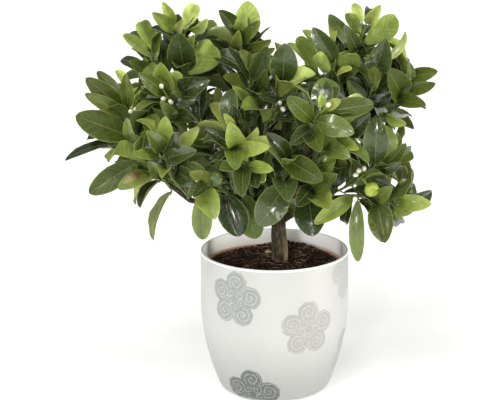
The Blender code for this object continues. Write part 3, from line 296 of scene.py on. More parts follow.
# Share of a twig past which its leaves are this year's
YOUNG_FROM = 0.8
HUE_SPREAD = 0.009
VALUE_SPREAD = 0.16
CUP_SPREAD = 0.32
ARCH_GAIN = 1.9

# Fine leaf: corners along and across, thickness of the blade, half width of its ends, waves along it
LEAF_STATIONS = 11
LEAF_COLUMNS = 7
LEAF_THICKNESS = 0.38 * MM
LEAF_END = 0.35 * MM
LEAF_WAVES = 2.3
OUTLINE_SHIFT = 1.05
OUTLINE_FULLNESS = 0.55
# How much closer the cells stand towards both ends, and the share of its run that a blade covers
CROWDING = 0.12
BLADE_SHARE = 0.985
PETIOLE_RADIUS = 0.75 * MM
SHOOT_SIDES = 7


def srgb(hex_colour):
    """An sRGB hex value as linear RGBA."""
    channels = [int(hex_colour[i:i + 2], 16) / 255 for i in (1, 3, 5)]
    return (*[c / 12.92 if c <= 0.04045 else ((c + 0.055) / 1.055) ** 2.4 for c in channels], 1.0)


def feed(tree, node, inputs):
    """Give a node its inputs, by name or by place. A node among them stands for its first output, and a
    list holds all that joins in one input."""
    shown = [socket for socket in node.inputs if socket.enabled]
    for key, value in inputs.items() if isinstance(inputs, dict) else enumerate(inputs):
        target = shown[key] if isinstance(key, int) else next(s for s in shown if s.name == key)
        for source in value if isinstance(value, list) else [value]:
            if isinstance(source, bpy.types.Node):
                source = next(socket for socket in source.outputs if socket.enabled)
            if isinstance(source, bpy.types.NodeSocket):
                tree.links.new(source, target)
            else:
                target.default_value = source


class Words:
    """Short words for the nodes that one tree is made of."""

    def __init__(self, tree):
        self.tree = tree

    def node(self, kind, inputs=(), **settings):
        made = self.tree.nodes.new(kind)
        for setting, value in settings.items():
            setattr(made, setting, value)
        feed(self.tree, made, inputs)
        return made

    def calc(self, operation, *values):
        return self.node("ShaderNodeMath", values, operation=operation)

    def vector(self, operation, *values):
        return self.node("ShaderNodeVectorMath", values, operation=operation)

    def ramp(self, value, given, wanted=(0.0, 1.0), smooth=False):
        """A value led from the given range to the wanted one."""
        return self.node("ShaderNodeMapRange", {
            "Value": value, "From Min": given[0], "From Max": given[1], "To Min": wanted[0],
            "To Max": wanted[1]}, interpolation_type="SMOOTHSTEP" if smooth else "LINEAR")

    def blend(self, share, first, second, kind="RGBA"):
        return self.node("ShaderNodeMix", {"Factor": share, "A": first, "B": second}, data_type=kind)

    def lumps(self, spot, size, detail=2.0):
        """Noise whose lumps are about size across."""
        return self.node("ShaderNodeTexNoise", {"Vector": spot, "Scale": 1 / size, "Detail": detail})

    def value_of(self, name, output="Fac"):
        """A value that the shaded surface carries by name."""
        return self.node("ShaderNodeAttribute", attribute_name=name).outputs[output]

    def spot(self):
        """Where the shaded point lies on its object."""
        return self.node("ShaderNodeTexCoord").outputs["Object"]

    def painted(self, geometry, finish):
        return self.node("GeometryNodeSetMaterial", {"Geometry": geometry, "Material": finish})

    def stored(self, geometry, name, value, kind="FLOAT_VECTOR", domain="POINT"):
        return self.node("GeometryNodeStoreNamedAttribute",
                         {"Geometry": geometry, "Name": name, "Value": value}, data_type=kind, domain=domain)

    def carried(self, name, kind="FLOAT_VECTOR"):
        """A value that the geometry carries by name."""
        return self.node("GeometryNodeInputNamedAttribute", [name], data_type=kind)

    def chance(self, low, high, seed):
        """A random value between low and high for each point."""
        kind = "FLOAT_VECTOR" if isinstance(low, tuple) else "FLOAT"
        return self.node("FunctionNodeRandomValue", {"Min": low, "Max": high, "Seed": seed}, data_type=kind)

    def tubes(self, lines, radius, sides):
        """Round stems along the edges of a guide, closed at their ends."""
        line = self.node("GeometryNodeMeshToCurve", [lines])
        ring = self.node("GeometryNodeCurvePrimitiveCircle", {"Resolution": sides, "Radius": 1.0})
        return self.node("GeometryNodeCurveToMesh", {
            "Curve": line, "Profile Curve": ring, "Scale": radius, "Fill Caps": True})


def in_scene(name, data):
    """A new object of the scene."""
    made = bpy.data.objects.new(name, data)
    bpy.context.scene.collection.objects.link(made)
    return made


# The viewer's sight lines
RIM_CENTRE = Vector((0.0, 0.0, POT_HEIGHT))
VIEW_UP = Vector((0.0, math.sin(EYE_ELEVATION), math.cos(EYE_ELEVATION)))
VIEW_AWAY = Vector((0.0, math.cos(EYE_ELEVATION), -math.sin(EYE_ELEVATION)))
EYE = RIM_CENTRE - VIEW_AWAY * EYE_DISTANCE


def seen(right, up, front):
    """The point that the viewer sees at (right, up), front mm before the pot's axis."""
    target = RIM_CENTRE + Vector((right * MM, 0.0, 0.0)) + VIEW_UP * (up * MM)
    reach = (-front * MM - EYE.y) / (target.y - EYE.y)
    return EYE + (target - EYE) * reach


def as_seen(point):
    """Where the viewer sees a point, as (right, up) in mm."""
    ray = point - EYE
    scale = EYE_DISTANCE / ray.dot(VIEW_AWAY)
    return ray.x * scale / MM, ray.dot(VIEW_UP) * scale / MM


def inside_outline(point, share=1.0):
    """Whether the viewer sees a point within the crown's outline, or within a share of it."""
    right, up = as_seen(point)
    return any(((right - x) / wide) ** 2 + ((up - y) / high) ** 2 < share ** 2
               for x, y, wide, high in LOBES)


def along(points, share):
    """Point and direction at a share of a polyline's length."""
    lengths = [(b - a).length for a, b in zip(points, points[1:])]
    left = share * sum(lengths)
    for index, length in enumerate(lengths):
        if left <= length or index == len(lengths) - 1:
            direction = (points[index + 1] - points[index]).normalized()
            return points[index] + direction * min(left, length), direction
        left -= length


def across(direction, towards):
    """The part of towards that is square to direction, as a unit vector."""
    square = towards - direction * towards.dot(direction)
    return square.normalized()


def tapered(radius_range, count):
    """Radii of evenly spaced points from one end to the other."""
    start, end = radius_range
    return [start + (end - start) * i / (count - 1) for i in range(count)]


def twig_points(spray):
    """A twig's centre line: it leaves its limb square to it, or goes on from the limb's end."""
    limb = [seen(*place) for place in LIMBS[spray.limb]]
    places = [seen(*place) for place in spray.path]
    point, direction = along(limb, spray.at)
    if spray.at >= 1.0:
        outward, start = direction, point + direction * GAP
    else:
        outward = across(direction, places[0] - point)
        start_radius, end_radius = LIMB_RADIUS
        radius = start_radius + (end_radius - start_radius) * spray.at
        start = point + outward * (radius + GAP)
    return [start, start + outward * TWIG_HEEL] + places


def nearest_on_twig(points, place):
    """Places on a twig as (point, direction, share of its length), the one seen nearest to place first."""
    found = []
    for i in range(2, TWIG_STEPS):
        point, direction = along(points, i / TWIG_STEPS)
        found.append((point, direction, i / TWIG_STEPS))
    return sorted(found, key=lambda spot: math.dist(as_seen(spot[0]), place[:2]))


class Blade:
    """One leaf's place: root on the twig, foot and tip of the blade, and how it is turned and bent."""

    def __init__(self, root, base, tip, width, normal, arch, twist, look):
        direction = (tip - base).normalized()
        if (base - root).length < SHORT_PETIOLE:
            base = root + direction * SHORT_PETIOLE
        self.root, self.base, self.tip = root, base, tip
        self.width, self.arch, self.twist, self.look = width, arch, twist, look
        self.normal = across((tip - base).normalized(), normal)


class Solid:
    """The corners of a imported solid, which tell where a leaf or stalk of it ended up."""

    def __init__(self, name):
        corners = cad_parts[name].data.vertices
        self.tree = KDTree(len(corners))
        for corner in corners:
            self.tree.insert(corner.co, corner.index)
        self.tree.balance()

    def has(self, point, within=SAME_PLACE):
        return self.tree.find(point)[2] < within


def seen_leaf(solid, leaf, points, draw):
    """A leaf whose base and tip the viewer sees, at the try that its solid kept."""
    root, _, _ = nearest_on_twig(points, leaf.base)[0]
    front = -root.y / MM
    hidden = math.sqrt(max(0.0, FULL_LENGTH ** 2 - math.dist(leaf.base, leaf.tip) ** 2))
    reach = leaf.rise + math.copysign(DEPTH_SHARE * hidden, leaf.rise)
    for attempt in range(3 * TRIES):
        slack = attempt / TRIES
        rise = reach + draw.uniform(-STRAY_RISE, STRAY_RISE) * slack
        base = seen(*leaf.base, front + draw.uniform(-STRAY_FRONT, STRAY_FRONT) * slack)
        tip = seen(*leaf.tip, front + rise)
        roll = math.radians(leaf.roll + draw.uniform(-STRAY_SEEN_ROLL, STRAY_SEEN_ROLL) * slack)
        direction = (tip - base).normalized()
        facing = Matrix.Rotation(roll, 3, direction) @ across(direction, -VIEW_AWAY)
        arch = draw.uniform(*SEEN_ARCH) * (tip - base).length
        blade = Blade(root, base, tip, leaf.width * MM, facing, arch, draw.uniform(*TWIST), leaf.look)
        if solid.has(tip):
            return blade
    return None


def rule_leaf(solid, points, share, turn, draw, look):
    """A leaf of the spiral round a twig, at the try that its solid kept."""
    for attempt in range(TRIES):
        place, direction = along(points, min(LAST_LEAF, share + draw.uniform(-STRAY_SHARE, STRAY_SHARE)))
        angle = turn + draw.uniform(-STRAY_TURN, STRAY_TURN) * (1 + STRAY_TURN_GROWTH * attempt)
        low, high = LEAF_OPENING
        opening = high + (low - high) * share + draw.uniform(-STRAY_OPENING, STRAY_OPENING)
        side = Matrix.Rotation(angle, 3, direction) @ direction.orthogonal().normalized()
        heading = direction * math.cos(opening) + side * math.sin(opening)
        length = draw.uniform(*LEAF_LENGTH) * (1.0 - SHRINK * attempt)
        width = length * draw.uniform(*LEAF_ASPECT)
        tip = place + heading * length
        facing = across(heading, direction + SKYWARD)
        facing = Matrix.Rotation(draw.uniform(-STRAY_ROLL, STRAY_ROLL), 3, heading) @ facing
        arch = draw.uniform(*ARCH) * length
        if tip.z < LOWEST_LEAF_Z or not inside_outline(tip):
            continue
        blade = Blade(place, place + heading * PETIOLE, tip, width, facing, arch,
                      draw.uniform(*TWIST), look)
        if solid.has(tip):
            return blade
    return None


# Leaves deeper in the crown, which close it against the light
FILL_PER_TWIG = 14
FILL_LENGTH = (28 * MM, 42 * MM)
FILL_OPENING = (0.6, 1.4)
FILL_TURN = 0.5
FILL_OUTLINE = 0.9
FILL_FRONT_Y = 25 * MM
FILL_BACKWARD = 0.1
FILL_MARGIN = 8 * MM


def fill_leaf(points, share, turn, draw, look):
    """A leaf on the far side of its twig, well inside the crown."""
    for attempt in range(TRIES):
        place, direction = along(points, share)
        side = Matrix.Rotation(turn + draw.uniform(-FILL_TURN, FILL_TURN) * attempt, 3, direction)
        side = side @ direction.orthogonal().normalized()
        opening = draw.uniform(*FILL_OPENING)
        heading = direction * math.cos(opening) + side * math.sin(opening)
        length = draw.uniform(*FILL_LENGTH)
        tip = place + heading * length
        backward = heading.dot(VIEW_AWAY) > FILL_BACKWARD or place.y > FILL_FRONT_Y
        boxed = all(low + FILL_MARGIN < at < high - FILL_MARGIN
                    for low, at, high in zip(CAD_BOX[0], tip, CAD_BOX[1]))
        if backward and boxed and tip.z > LOWEST_LEAF_Z and inside_outline(tip, FILL_OUTLINE):
            facing = across(heading, direction + SKYWARD)
            facing = Matrix.Rotation(draw.uniform(-STRAY_ROLL, STRAY_ROLL), 3, heading) @ facing
            return Blade(place, place + heading * PETIOLE, tip, length * draw.uniform(*LEAF_ASPECT),
                         facing, draw.uniform(*ARCH) * length, draw.uniform(*TWIST), look)
    return None


def leaf_draw(name, number):
    """Each leaf's own random draw."""
    return random.Random(f"{SEED} {name} {number}")


def grow(twigs):
    """All leaves, spray by spray, each from the draw that its solid grew from."""
    grown_blades = {}
    for spray in SPRAYS:
        solid, points, name = Solid(spray.name), twigs[spray.name], spray.name
        placed = [seen_leaf(solid, Leaf(*row), points, leaf_draw(name, number))
                  for number, row in enumerate(spray.leaves)]
        taste = leaf_draw(name, "look")
        start = leaf_draw(name, "turn").uniform(0, math.tau)
        for i in range(spray.extra):
            share = FIRST_LEAF + (1 - FIRST_LEAF) * (i + 1) / spray.extra
            look = taste.choice(TIP_LOOKS if share > YOUNG_FROM else RULE_LOOKS)
            placed.append(rule_leaf(solid, points, share, start + i * LEAF_TURN,
                                    leaf_draw(name, len(spray.leaves) + i), look))
        for i in range(FILL_PER_TWIG):
            placed.append(fill_leaf(points, (i + 0.5) / FILL_PER_TWIG, start - i * LEAF_TURN,
                                    leaf_draw(name, f"fill {i}"), taste.choice(FILL_LOOKS)))
        grown_blades[name] = [blade for blade in placed if blade]
    return grown_blades


def leaf_colour(look, taste):
    """A leaf's own shade of its look's colour, linear."""
    hue, saturation, value = colorsys.rgb_to_hsv(*srgb(LOOKS[look].colour)[:3])
    hue += taste.uniform(-HUE_SPREAD, HUE_SPREAD)
    value *= 1 + taste.uniform(-VALUE_SPREAD, VALUE_SPREAD)
    return (*colorsys.hsv_to_rgb(hue, saturation, value), 1.0)


# What each point of a guide carries
GUIDE = {"leaf": "BOOLEAN", "radius_here": "FLOAT", "run": "FLOAT_VECTOR", "face": "FLOAT_VECTOR",
         "half_width": "FLOAT", "arch": "FLOAT", "twist": "FLOAT", "fold": "FLOAT", "cup": "FLOAT",
         "wave": "FLOAT", "phase": "FLOAT", "tone": "FLOAT_COLOR", "wax": "FLOAT", "dry": "FLOAT"}
SAME_CORNER = 0.01 * MM
# A petiole's thickness at the twig, at the blade and where it ends under the rib, and how far on that is
PETIOLE_TAPER = (1.0, 0.9, 0.4)
PETIOLE_REACH = 0.08
# Least and most share of its look's fold and wave that a leaf has
FORM_SPREAD = (0.5, 1.3)


def guide_object(name, points, edges, values):
    """A mesh of bare points and edges that carries one value of each GUIDE attribute per point."""
    mesh = bpy.data.meshes.new(name)
    mesh.from_pydata(points, edges, [])
    for key, kind in GUIDE.items():
        blank = {"FLOAT_VECTOR": (0.0,) * 3, "FLOAT_COLOR": (0.0,) * 4}.get(kind, 0)
        attribute = mesh.attributes.new(key, kind, "POINT")
        for item, value in zip(attribute.data, values):
            field = {"FLOAT_VECTOR": "vector", "FLOAT_COLOR": "color"}.get(kind, "value")
            setattr(item, field, value.get(key, blank))
    return in_scene(name, mesh)


def spray_guide(name, twig, blades, taste):
    """What a leafy twig grows from: its centre line, a petiole to each leaf, and a point for each leaf."""
    points, edges, values = list(twig), [(i, i + 1) for i in range(len(twig) - 1)], []
    values += [{"radius_here": radius} for radius in tapered(TWIG_RADIUS, len(twig))]
    for blade in blades:
        run = (blade.tip - blade.base) * BLADE_SHARE
        first = len(points)
        points += [blade.root, blade.base, blade.base + run * PETIOLE_REACH]
        edges += [(first, first + 1), (first + 1, first + 2)]
        values += [{"radius_here": PETIOLE_RADIUS * share} for share in PETIOLE_TAPER]
        look = LOOKS[blade.look]
        points.append(blade.base)
        values.append({
            "leaf": True, "run": run, "face": blade.normal, "half_width": blade.width / 2,
            "arch": ARCH_GAIN * blade.arch, "twist": blade.twist,
            "fold": look.fold * taste.uniform(*FORM_SPREAD),
            "cup": look.cup + taste.uniform(-CUP_SPREAD, CUP_SPREAD),
            "wave": look.wave * blade.width * taste.uniform(*FORM_SPREAD),
            "phase": taste.uniform(0, math.tau),
            "tone": leaf_colour(blade.look, taste), "wax": look.roughness, "dry": look.dry,
        })
    return guide_object(name, points, edges, values)


# Angles between faces past which an edge is sharp
GROWN_EDGE = math.radians(50)
HEAD_EDGE = math.radians(60)
POT_EDGE = math.radians(40)


def new_geometry_tree(name, sockets):
    """An empty Geometry Nodes tree with named inputs. Gives its words, its inputs and the call that ends
    it."""
    tree = bpy.data.node_groups.new(name, "GeometryNodeTree")
    tree.interface.new_socket("Geometry", in_out="INPUT", socket_type="NodeSocketGeometry")
    for socket, kind in sockets.items():
        tree.interface.new_socket(socket, in_out="INPUT", socket_type="NodeSocket" + kind)
    tree.interface.new_socket("Geometry", in_out="OUTPUT", socket_type="NodeSocketGeometry")
    given, result = tree.nodes.new("NodeGroupInput").outputs, tree.nodes.new("NodeGroupOutput")

    def ended(geometry):
        feed(tree, result, [geometry])
        return tree
    return Words(tree), given, ended


def grown(made, tree, **values):
    """Turn an object into the plain mesh that a Geometry Nodes tree makes of it."""
    modifier = made.modifiers.new(tree.name, "NODES")
    modifier.node_group = tree
    for item in tree.interface.items_tree:
        if item.in_out == "INPUT" and item.name in values:
            modifier[item.identifier] = values[item.name]
    made.update_tag()
    graph = bpy.context.evaluated_depsgraph_get()
    graph.update()
    mesh = bpy.data.meshes.new_from_object(made.evaluated_get(graph))
    made.modifiers.clear()
    old = made.data
    made.data = mesh
    bpy.data.meshes.remove(old)
    mesh.shade_smooth()
    mesh.set_sharp_from_angle(angle=GROWN_EDGE)
    return made


def leafy_twig_tree():
    """A leafy twig from its guide: stems along the edges, and on each leaf point a blade that is folded,
    arched, twisted and waved as the point says."""
    w, size, ended = new_geometry_tree("leafy_twig", {
        "Stations": "Int", "Columns": "Int", "Crowding": "Float", "Thickness": "Float", "End": "Float",
        "Waves": "Float", "Sides": "Int", "Upper": "Material", "Under": "Material", "Shoot": "Material"})
    of = {key: w.carried(key, kind) for key, kind in GUIDE.items()}

    # Stems
    split = w.node("GeometryNodeSeparateGeometry", [size["Geometry"], of["leaf"]], domain="POINT")
    stems = w.tubes(split.outputs["Inverted"], of["radius_here"], size["Sides"])
    stems = w.painted(stems, size["Shoot"])

    # A flat sheet, 2 wide and 1 long, laid on each leaf point
    sheet = w.node("GeometryNodeMeshGrid", {
        "Size X": 2.0, "Size Y": 1.0, "Vertices X": size["Columns"], "Vertices Y": size["Stations"]})
    here = w.node("GeometryNodeInputPosition")
    flat_place = w.node("ShaderNodeSeparateXYZ", [here])
    crowd = w.calc("MULTIPLY", flat_place.outputs["Y"], math.tau)
    crowd = w.calc("MULTIPLY", w.calc("SINE", crowd), size["Crowding"])
    # Rows of cells crowd towards both ends of the sheet, whose middle lies at its origin
    crowd = w.calc("ADD", w.calc("ADD", flat_place.outputs["Y"], crowd), 0.5)
    flat_place = w.node("ShaderNodeCombineXYZ", [flat_place.outputs["X"], crowd])
    sheet = w.stored(sheet, "blade", flat_place)
    points = w.stored(split.outputs["Selection"], "foot", here)
    sheets = w.node("GeometryNodeInstanceOnPoints", {"Points": points, "Instance": sheet})
    sheets = w.node("GeometryNodeRealizeInstances", [sheets])

    # Outline: full from a third of its length to two thirds, blunt at the tip
    blade = w.node("ShaderNodeSeparateXYZ", [w.carried("blade")])
    beside, ahead = blade.outputs["X"], blade.outputs["Y"]
    outline = w.calc("MULTIPLY", w.calc("POWER", ahead, OUTLINE_SHIFT), math.pi)
    outline = w.calc("MAXIMUM", w.calc("SINE", outline), 0.0)
    outline = w.calc("POWER", outline, OUTLINE_FULLNESS)
    half = w.calc("MULTIPLY_ADD", outline, of["half_width"], size["End"])
    spread = w.calc("MULTIPLY", beside, half)

    # The blade's own axes, which turn along it
    turn = w.calc("MULTIPLY", w.calc("SUBTRACT", ahead, UNTWISTED_AT), of["twist"])
    normal = w.node("ShaderNodeVectorRotate", {"Vector": of["face"], "Axis": of["run"], "Angle": turn})
    side = w.vector("NORMALIZE", w.vector("CROSS_PRODUCT", of["run"], normal))

    # Heights over the flat sheet: arch along the leaf, fold across it, ripple towards its margin
    arch = w.calc("MULTIPLY", w.calc("SUBTRACT", 1.0, ahead), ahead)
    arch = w.calc("MULTIPLY", w.calc("MULTIPLY", arch, of["arch"]), 4.0)
    fold = w.calc("MULTIPLY", w.calc("ABSOLUTE", spread), of["fold"])
    cup = w.calc("MULTIPLY", w.calc("MULTIPLY", spread, beside), of["cup"])
    waves = w.calc("MULTIPLY", size["Waves"], math.tau)
    ripple = w.calc("SINE", w.calc("MULTIPLY_ADD", ahead, waves, w.calc("ADD", of["phase"], beside)))
    for share in (beside, beside, outline, of["wave"]):
        ripple = w.calc("MULTIPLY", ripple, share)
    lift = w.calc("ADD", w.calc("ADD", fold, cup), ripple)

    corner = w.carried("foot")
    for direction, amount in ((of["run"], ahead), (of["face"], arch), (side, spread), (normal, lift)):
        corner = w.vector("ADD", corner, w.vector("MULTIPLY", direction, amount))
    under = w.node("GeometryNodeSetPosition", {"Geometry": sheets, "Position": corner})

    # Upper side and margin stand a blade's thickness over the underside
    upper = w.node("GeometryNodeExtrudeMesh", {
        "Mesh": under, "Offset": normal, "Individual": False, "Offset Scale": size["Thickness"]},
        mode="FACES")
    upper = w.painted(upper, size["Upper"])
    under = w.painted(w.node("GeometryNodeFlipFaces", [under]), size["Under"])
    blades = w.node("GeometryNodeJoinGeometry", {"Geometry": [upper, under]})
    blades = w.node("GeometryNodeMergeByDistance", {"Geometry": blades, "Distance": SAME_CORNER})
    return ended(w.node("GeometryNodeJoinGeometry", {"Geometry": [blades, stems]}))


def build_sprays(finish):
    """Every leafy twig as one piece, in place of its solid."""
    tree = leafy_twig_tree()
    twigs = {spray.name: twig_points(spray) for spray in SPRAYS}
    taste = random.Random(SEED + 2)
    for name, blades in grow(twigs).items():
        made = spray_guide("fine_" + name, twigs[name], blades, taste)
        grown(made, tree, Stations=LEAF_STATIONS, Columns=LEAF_COLUMNS, Crowding=CROWDING,
              Thickness=LEAF_THICKNESS, End=LEAF_END, Waves=LEAF_WAVES, Sides=SHOOT_SIDES,
              Upper=finish["leaf"], Under=finish["leaf_under"], Shoot=finish["shoot"])
        place(made, "leaves", name)


def place(made, slot, *nodes):
    """Hand a finished piece over to the frame."""
    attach(made, "root")
    if nodes:
        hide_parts(*nodes)


# Wood: (height, radius) of the trunk, which flares a little where it leaves the soil
TRUNK = [(76 * MM + GAP, 6.6 * MM), (118 * MM, 6.7 * MM), (127 * MM, 7.4 * MM), (134 * MM, 6.7 * MM),
         (150 * MM, 7.0 * MM), (166 * MM, 6.6 * MM), (184 * MM, 4.4 * MM)]
WOOD_SIDES = 16
WOOD_VOXEL = 0.75 * MM
BARK_RELIEF = 0.7 * MM
# What the limbs lose where they are melted together
MELT_LOSS = 0.9 * MM
# A thin second stem up the trunk's right side: (right, front, height, radius)
SIDE_STEM = [(7.4 * MM, 3.0 * MM, 77 * MM, 1.7 * MM), (7.0 * MM, 3.4 * MM, 128 * MM, 1.9 * MM),
             (6.6 * MM, 3.0 * MM, 146 * MM, 1.6 * MM), (4.6 * MM, 1.0 * MM, 164 * MM, 1.4 * MM)]
BARK_GRAIN = 2.6 * MM
# Bark runs along the wood, so its grain is drawn out upwards; noise over BARK_LEVEL stands out
BARK_STRETCH = (1.0, 1.0, 0.22)
BARK_LEVEL = 0.62


def wood_tree():
    """Wood from its guide: round limbs along the edges, melted together where they meet, with rough bark."""
    w, size, ended = new_geometry_tree("wood", {
        "Sides": "Int", "Voxel": "Float", "Relief": "Float", "Grain": "Float", "Bark": "Material"})
    body = w.tubes(size["Geometry"], w.carried("radius_here", "FLOAT"), size["Sides"])
    for kind in ("GeometryNodeMeshToVolume", "GeometryNodeVolumeToMesh"):
        body = w.node(kind, {0: body, "Voxel Size": size["Voxel"]}, resolution_mode="VOXEL_SIZE")
    along_grain = w.vector("MULTIPLY", w.node("GeometryNodeInputPosition"), BARK_STRETCH)
    rough = w.node("ShaderNodeTexNoise", {
        "Vector": along_grain, "Scale": w.calc("DIVIDE", 1.0, size["Grain"]), "Detail": 3.0})
    depth = w.calc("MULTIPLY", w.calc("SUBTRACT", rough, BARK_LEVEL), size["Relief"])
    depth = w.vector("MULTIPLY", w.node("GeometryNodeInputNormal"), depth)
    body = w.node("GeometryNodeSetPosition", {"Geometry": body, "Offset": depth})
    return ended(w.painted(body, size["Bark"]))


def build_wood(finish):
    """Trunk and limbs, grown together."""
    points, edges, values = [], [], []
    lines = [([Vector((TRUNK_X, 0.0, z)) for z, _ in TRUNK], [radius for _, radius in TRUNK])]
    lines.append(([Vector((TRUNK_X + right, -front, z)) for right, front, z, _ in SIDE_STEM],
                  [radius for _, _, _, radius in SIDE_STEM]))
    for places in LIMBS.values():
        line = [seen(*spot) for spot in places]
        lines.append((line, tapered(LIMB_RADIUS, len(line))))
    for line, radii in lines:
        first = len(points)
        points += line
        edges += [(first + i, first + i + 1) for i in range(len(line) - 1)]
        values += [{"radius_here": radius + MELT_LOSS} for radius in radii]
    made = guide_object("fine_trunk", points, edges, values)
    grown(made, wood_tree(), Sides=WOOD_SIDES, Voxel=WOOD_VOXEL, Relief=BARK_RELIEF, Grain=BARK_GRAIN,
          Bark=finish["bark"])
    place(made, "bark", "trunk")


# Soil: the mounded top that the crumbs lie on
SOIL_EDGE_Z = 119.5 * MM
SOIL_CROWN_Z = 125 * MM
SOIL_RADIUS = 60.4 * MM
STEM_CLEAR = 7.6 * MM
CRUMBS_PER_MM2 = 0.3
CRUMB_SIZE = (0.7 * MM, 2.6 * MM)
# Least and most length, width and height of a crumb as shares of its size
CRUMB_FORM = ((0.5, 0.4, 0.3), (1.0, 0.8, 0.6))
FIBRES_PER_MM2 = 0.045
FIBRE_LENGTH = (4 * MM, 13 * MM)
FIBRE_RADIUS = 0.26 * MM
# A fibre of length 1, bowed, and how far one tilts either way
FIBRE_BOW = {"Start": (-0.5, 0.0, 0.02), "Middle": (0.05, 0.22, 0.16), "End": (0.5, -0.05, 0.0)}
FIBRE_TILT = 0.35
# The mix is heaped against the rim at the back, and a fibrous clump and a chip of bark lie left of the stem
HEAP = Vector((18 * MM, 58 * MM, 5.2 * MM))
HEAP_REACH = 30 * MM
CLUMP = Vector((-22 * MM, -12 * MM, 124 * MM))
CLUMP_REACH = 9 * MM
CHIP = Vector((-6 * MM, 20 * MM, 126.5 * MM))
CHIP_SIZE = Vector((3.4 * MM, 2.4 * MM, 2.0 * MM))
CHIP_TURN = (0.3, 0.2, 0.5)
# How much paler crumbs of the clump are, and the size and depth of a crumb's dents
CLUMP_TINT = 0.75
DENT_SIZE = 1.1 * MM
DENT_DEPTH = 1.0 * MM
STREWN_LIFT = 0.4 * MM
SOIL_SIDES = 64
SOIL_RINGS = 10


def soil_surface():
    """The top of the soil as a ring round the stem, on which crumbs are strewn."""
    work = bmesh.new()
    rows = []
    for r in range(SOIL_RINGS + 1):
        radius = STEM_CLEAR + (SOIL_RADIUS - STEM_CLEAR) * r / SOIL_RINGS
        z = SOIL_CROWN_Z - (SOIL_CROWN_Z - SOIL_EDGE_Z) * (radius / SOIL_RADIUS) ** 2
        shift = TRUNK_X * (1 - r / SOIL_RINGS)
        rows.append([work.verts.new((shift + radius * math.cos(math.tau * i / SOIL_SIDES),
                                     radius * math.sin(math.tau * i / SOIL_SIDES), z))
                     for i in range(SOIL_SIDES)])
    for inner, outer in zip(rows, rows[1:]):
        for i in range(SOIL_SIDES):
            after = (i + 1) % SOIL_SIDES
            work.faces.new((inner[i], outer[i], outer[after], inner[after]))
    for corner in work.verts:
        away = (corner.co.xy - HEAP.xy).length / HEAP_REACH
        corner.co.z += HEAP.z * math.exp(-away ** 2)
    mesh = bpy.data.meshes.new("soil_surface")
    work.to_mesh(mesh)
    work.free()
    return in_scene("soil_crumbs", mesh)


def strewn_tree():
    """Crumbs and fibres strewn on a surface, each with a tint of its own, and a chip of bark among them."""
    w, size, ended = new_geometry_tree("strewn_soil", {
        "Crumb Density": "Float", "Crumb Least": "Float", "Crumb Most": "Float", "Fibre Density": "Float",
        "Fibre Least": "Float", "Fibre Most": "Float", "Fibre Radius": "Float", "Seed": "Int",
        "Clump": "Vector", "Clump Reach": "Float", "Chip": "Vector", "Chip Size": "Vector",
        "Crumb": "Material", "Fibre": "Material"})

    def strewn(density, seed, item, turn, scale, tint):
        """The item on random spots of the surface, as plain mesh or curves."""
        spots = w.node("GeometryNodeDistributePointsOnFaces", {
            "Mesh": size["Geometry"], "Density": density, "Seed": seed})
        items = w.node("GeometryNodeInstanceOnPoints", {
            "Points": spots, "Instance": item, "Rotation": turn, "Scale": scale})
        return w.node("GeometryNodeRealizeInstances", [w.stored(items, "tint", tint, "FLOAT", "INSTANCE")])

    lump = w.node("GeometryNodeMeshIcoSphere", {"Radius": 1.0, "Subdivisions": 1})
    big = w.chance(size["Crumb Least"], size["Crumb Most"], 1)
    flat = w.chance(*CRUMB_FORM, 2)
    away = w.vector("DISTANCE", w.node("GeometryNodeInputPosition"), size["Clump"]).outputs["Value"]
    clump = w.ramp(away, (size["Clump Reach"], 0.0), (0.0, CLUMP_TINT))
    crumbs = strewn(size["Crumb Density"], size["Seed"], lump, w.chance((0.0,) * 3, (math.tau,) * 3, 3),
                    w.vector("MULTIPLY", flat, big), w.calc("ADD", w.chance(0.0, 1.0, 4), clump))
    dents = w.node("ShaderNodeTexNoise", {"Scale": 1 / DENT_SIZE, "Detail": 1.0}).outputs["Color"]
    dents = w.vector("MULTIPLY", w.vector("SUBTRACT", dents, (0.5,) * 3), (DENT_DEPTH,) * 3)
    crumbs = w.node("GeometryNodeSetPosition", {"Geometry": crumbs, "Offset": dents})

    strand = w.node("GeometryNodeCurveQuadraticBezier", {"Resolution": 5, **FIBRE_BOW})
    strands = strewn(size["Fibre Density"], w.calc("ADD", size["Seed"], 1.0), strand,
                     w.chance((-FIBRE_TILT, -FIBRE_TILT, 0.0), (FIBRE_TILT, FIBRE_TILT, math.tau), 6),
                     w.chance(size["Fibre Least"], size["Fibre Most"], 5), w.chance(0.0, 1.0, 7))
    ring = w.node("GeometryNodeCurvePrimitiveCircle", {"Resolution": 4, "Radius": size["Fibre Radius"]})
    strands = w.node("GeometryNodeCurveToMesh", {"Curve": strands, "Profile Curve": ring, "Fill Caps": True})

    chip = w.node("GeometryNodeMeshIcoSphere", {"Radius": 1.0, "Subdivisions": 3})
    chip = w.node("GeometryNodeTransform", {
        "Geometry": chip, "Translation": size["Chip"], "Rotation": CHIP_TURN, "Scale": size["Chip Size"]})
    chip = w.node("GeometryNodeSetPosition", {"Geometry": chip, "Offset": dents})
    chip = w.stored(chip, "tint", 1.0, "FLOAT")
    whole = w.node("GeometryNodeJoinGeometry", {"Geometry": [
        w.painted(crumbs, size["Crumb"]), w.painted(strands, size["Fibre"]),
        w.painted(chip, size["Fibre"])]})
    return ended(w.node("GeometryNodeSetPosition", {"Geometry": whole, "Offset": (0.0, 0.0, STREWN_LIFT)}))


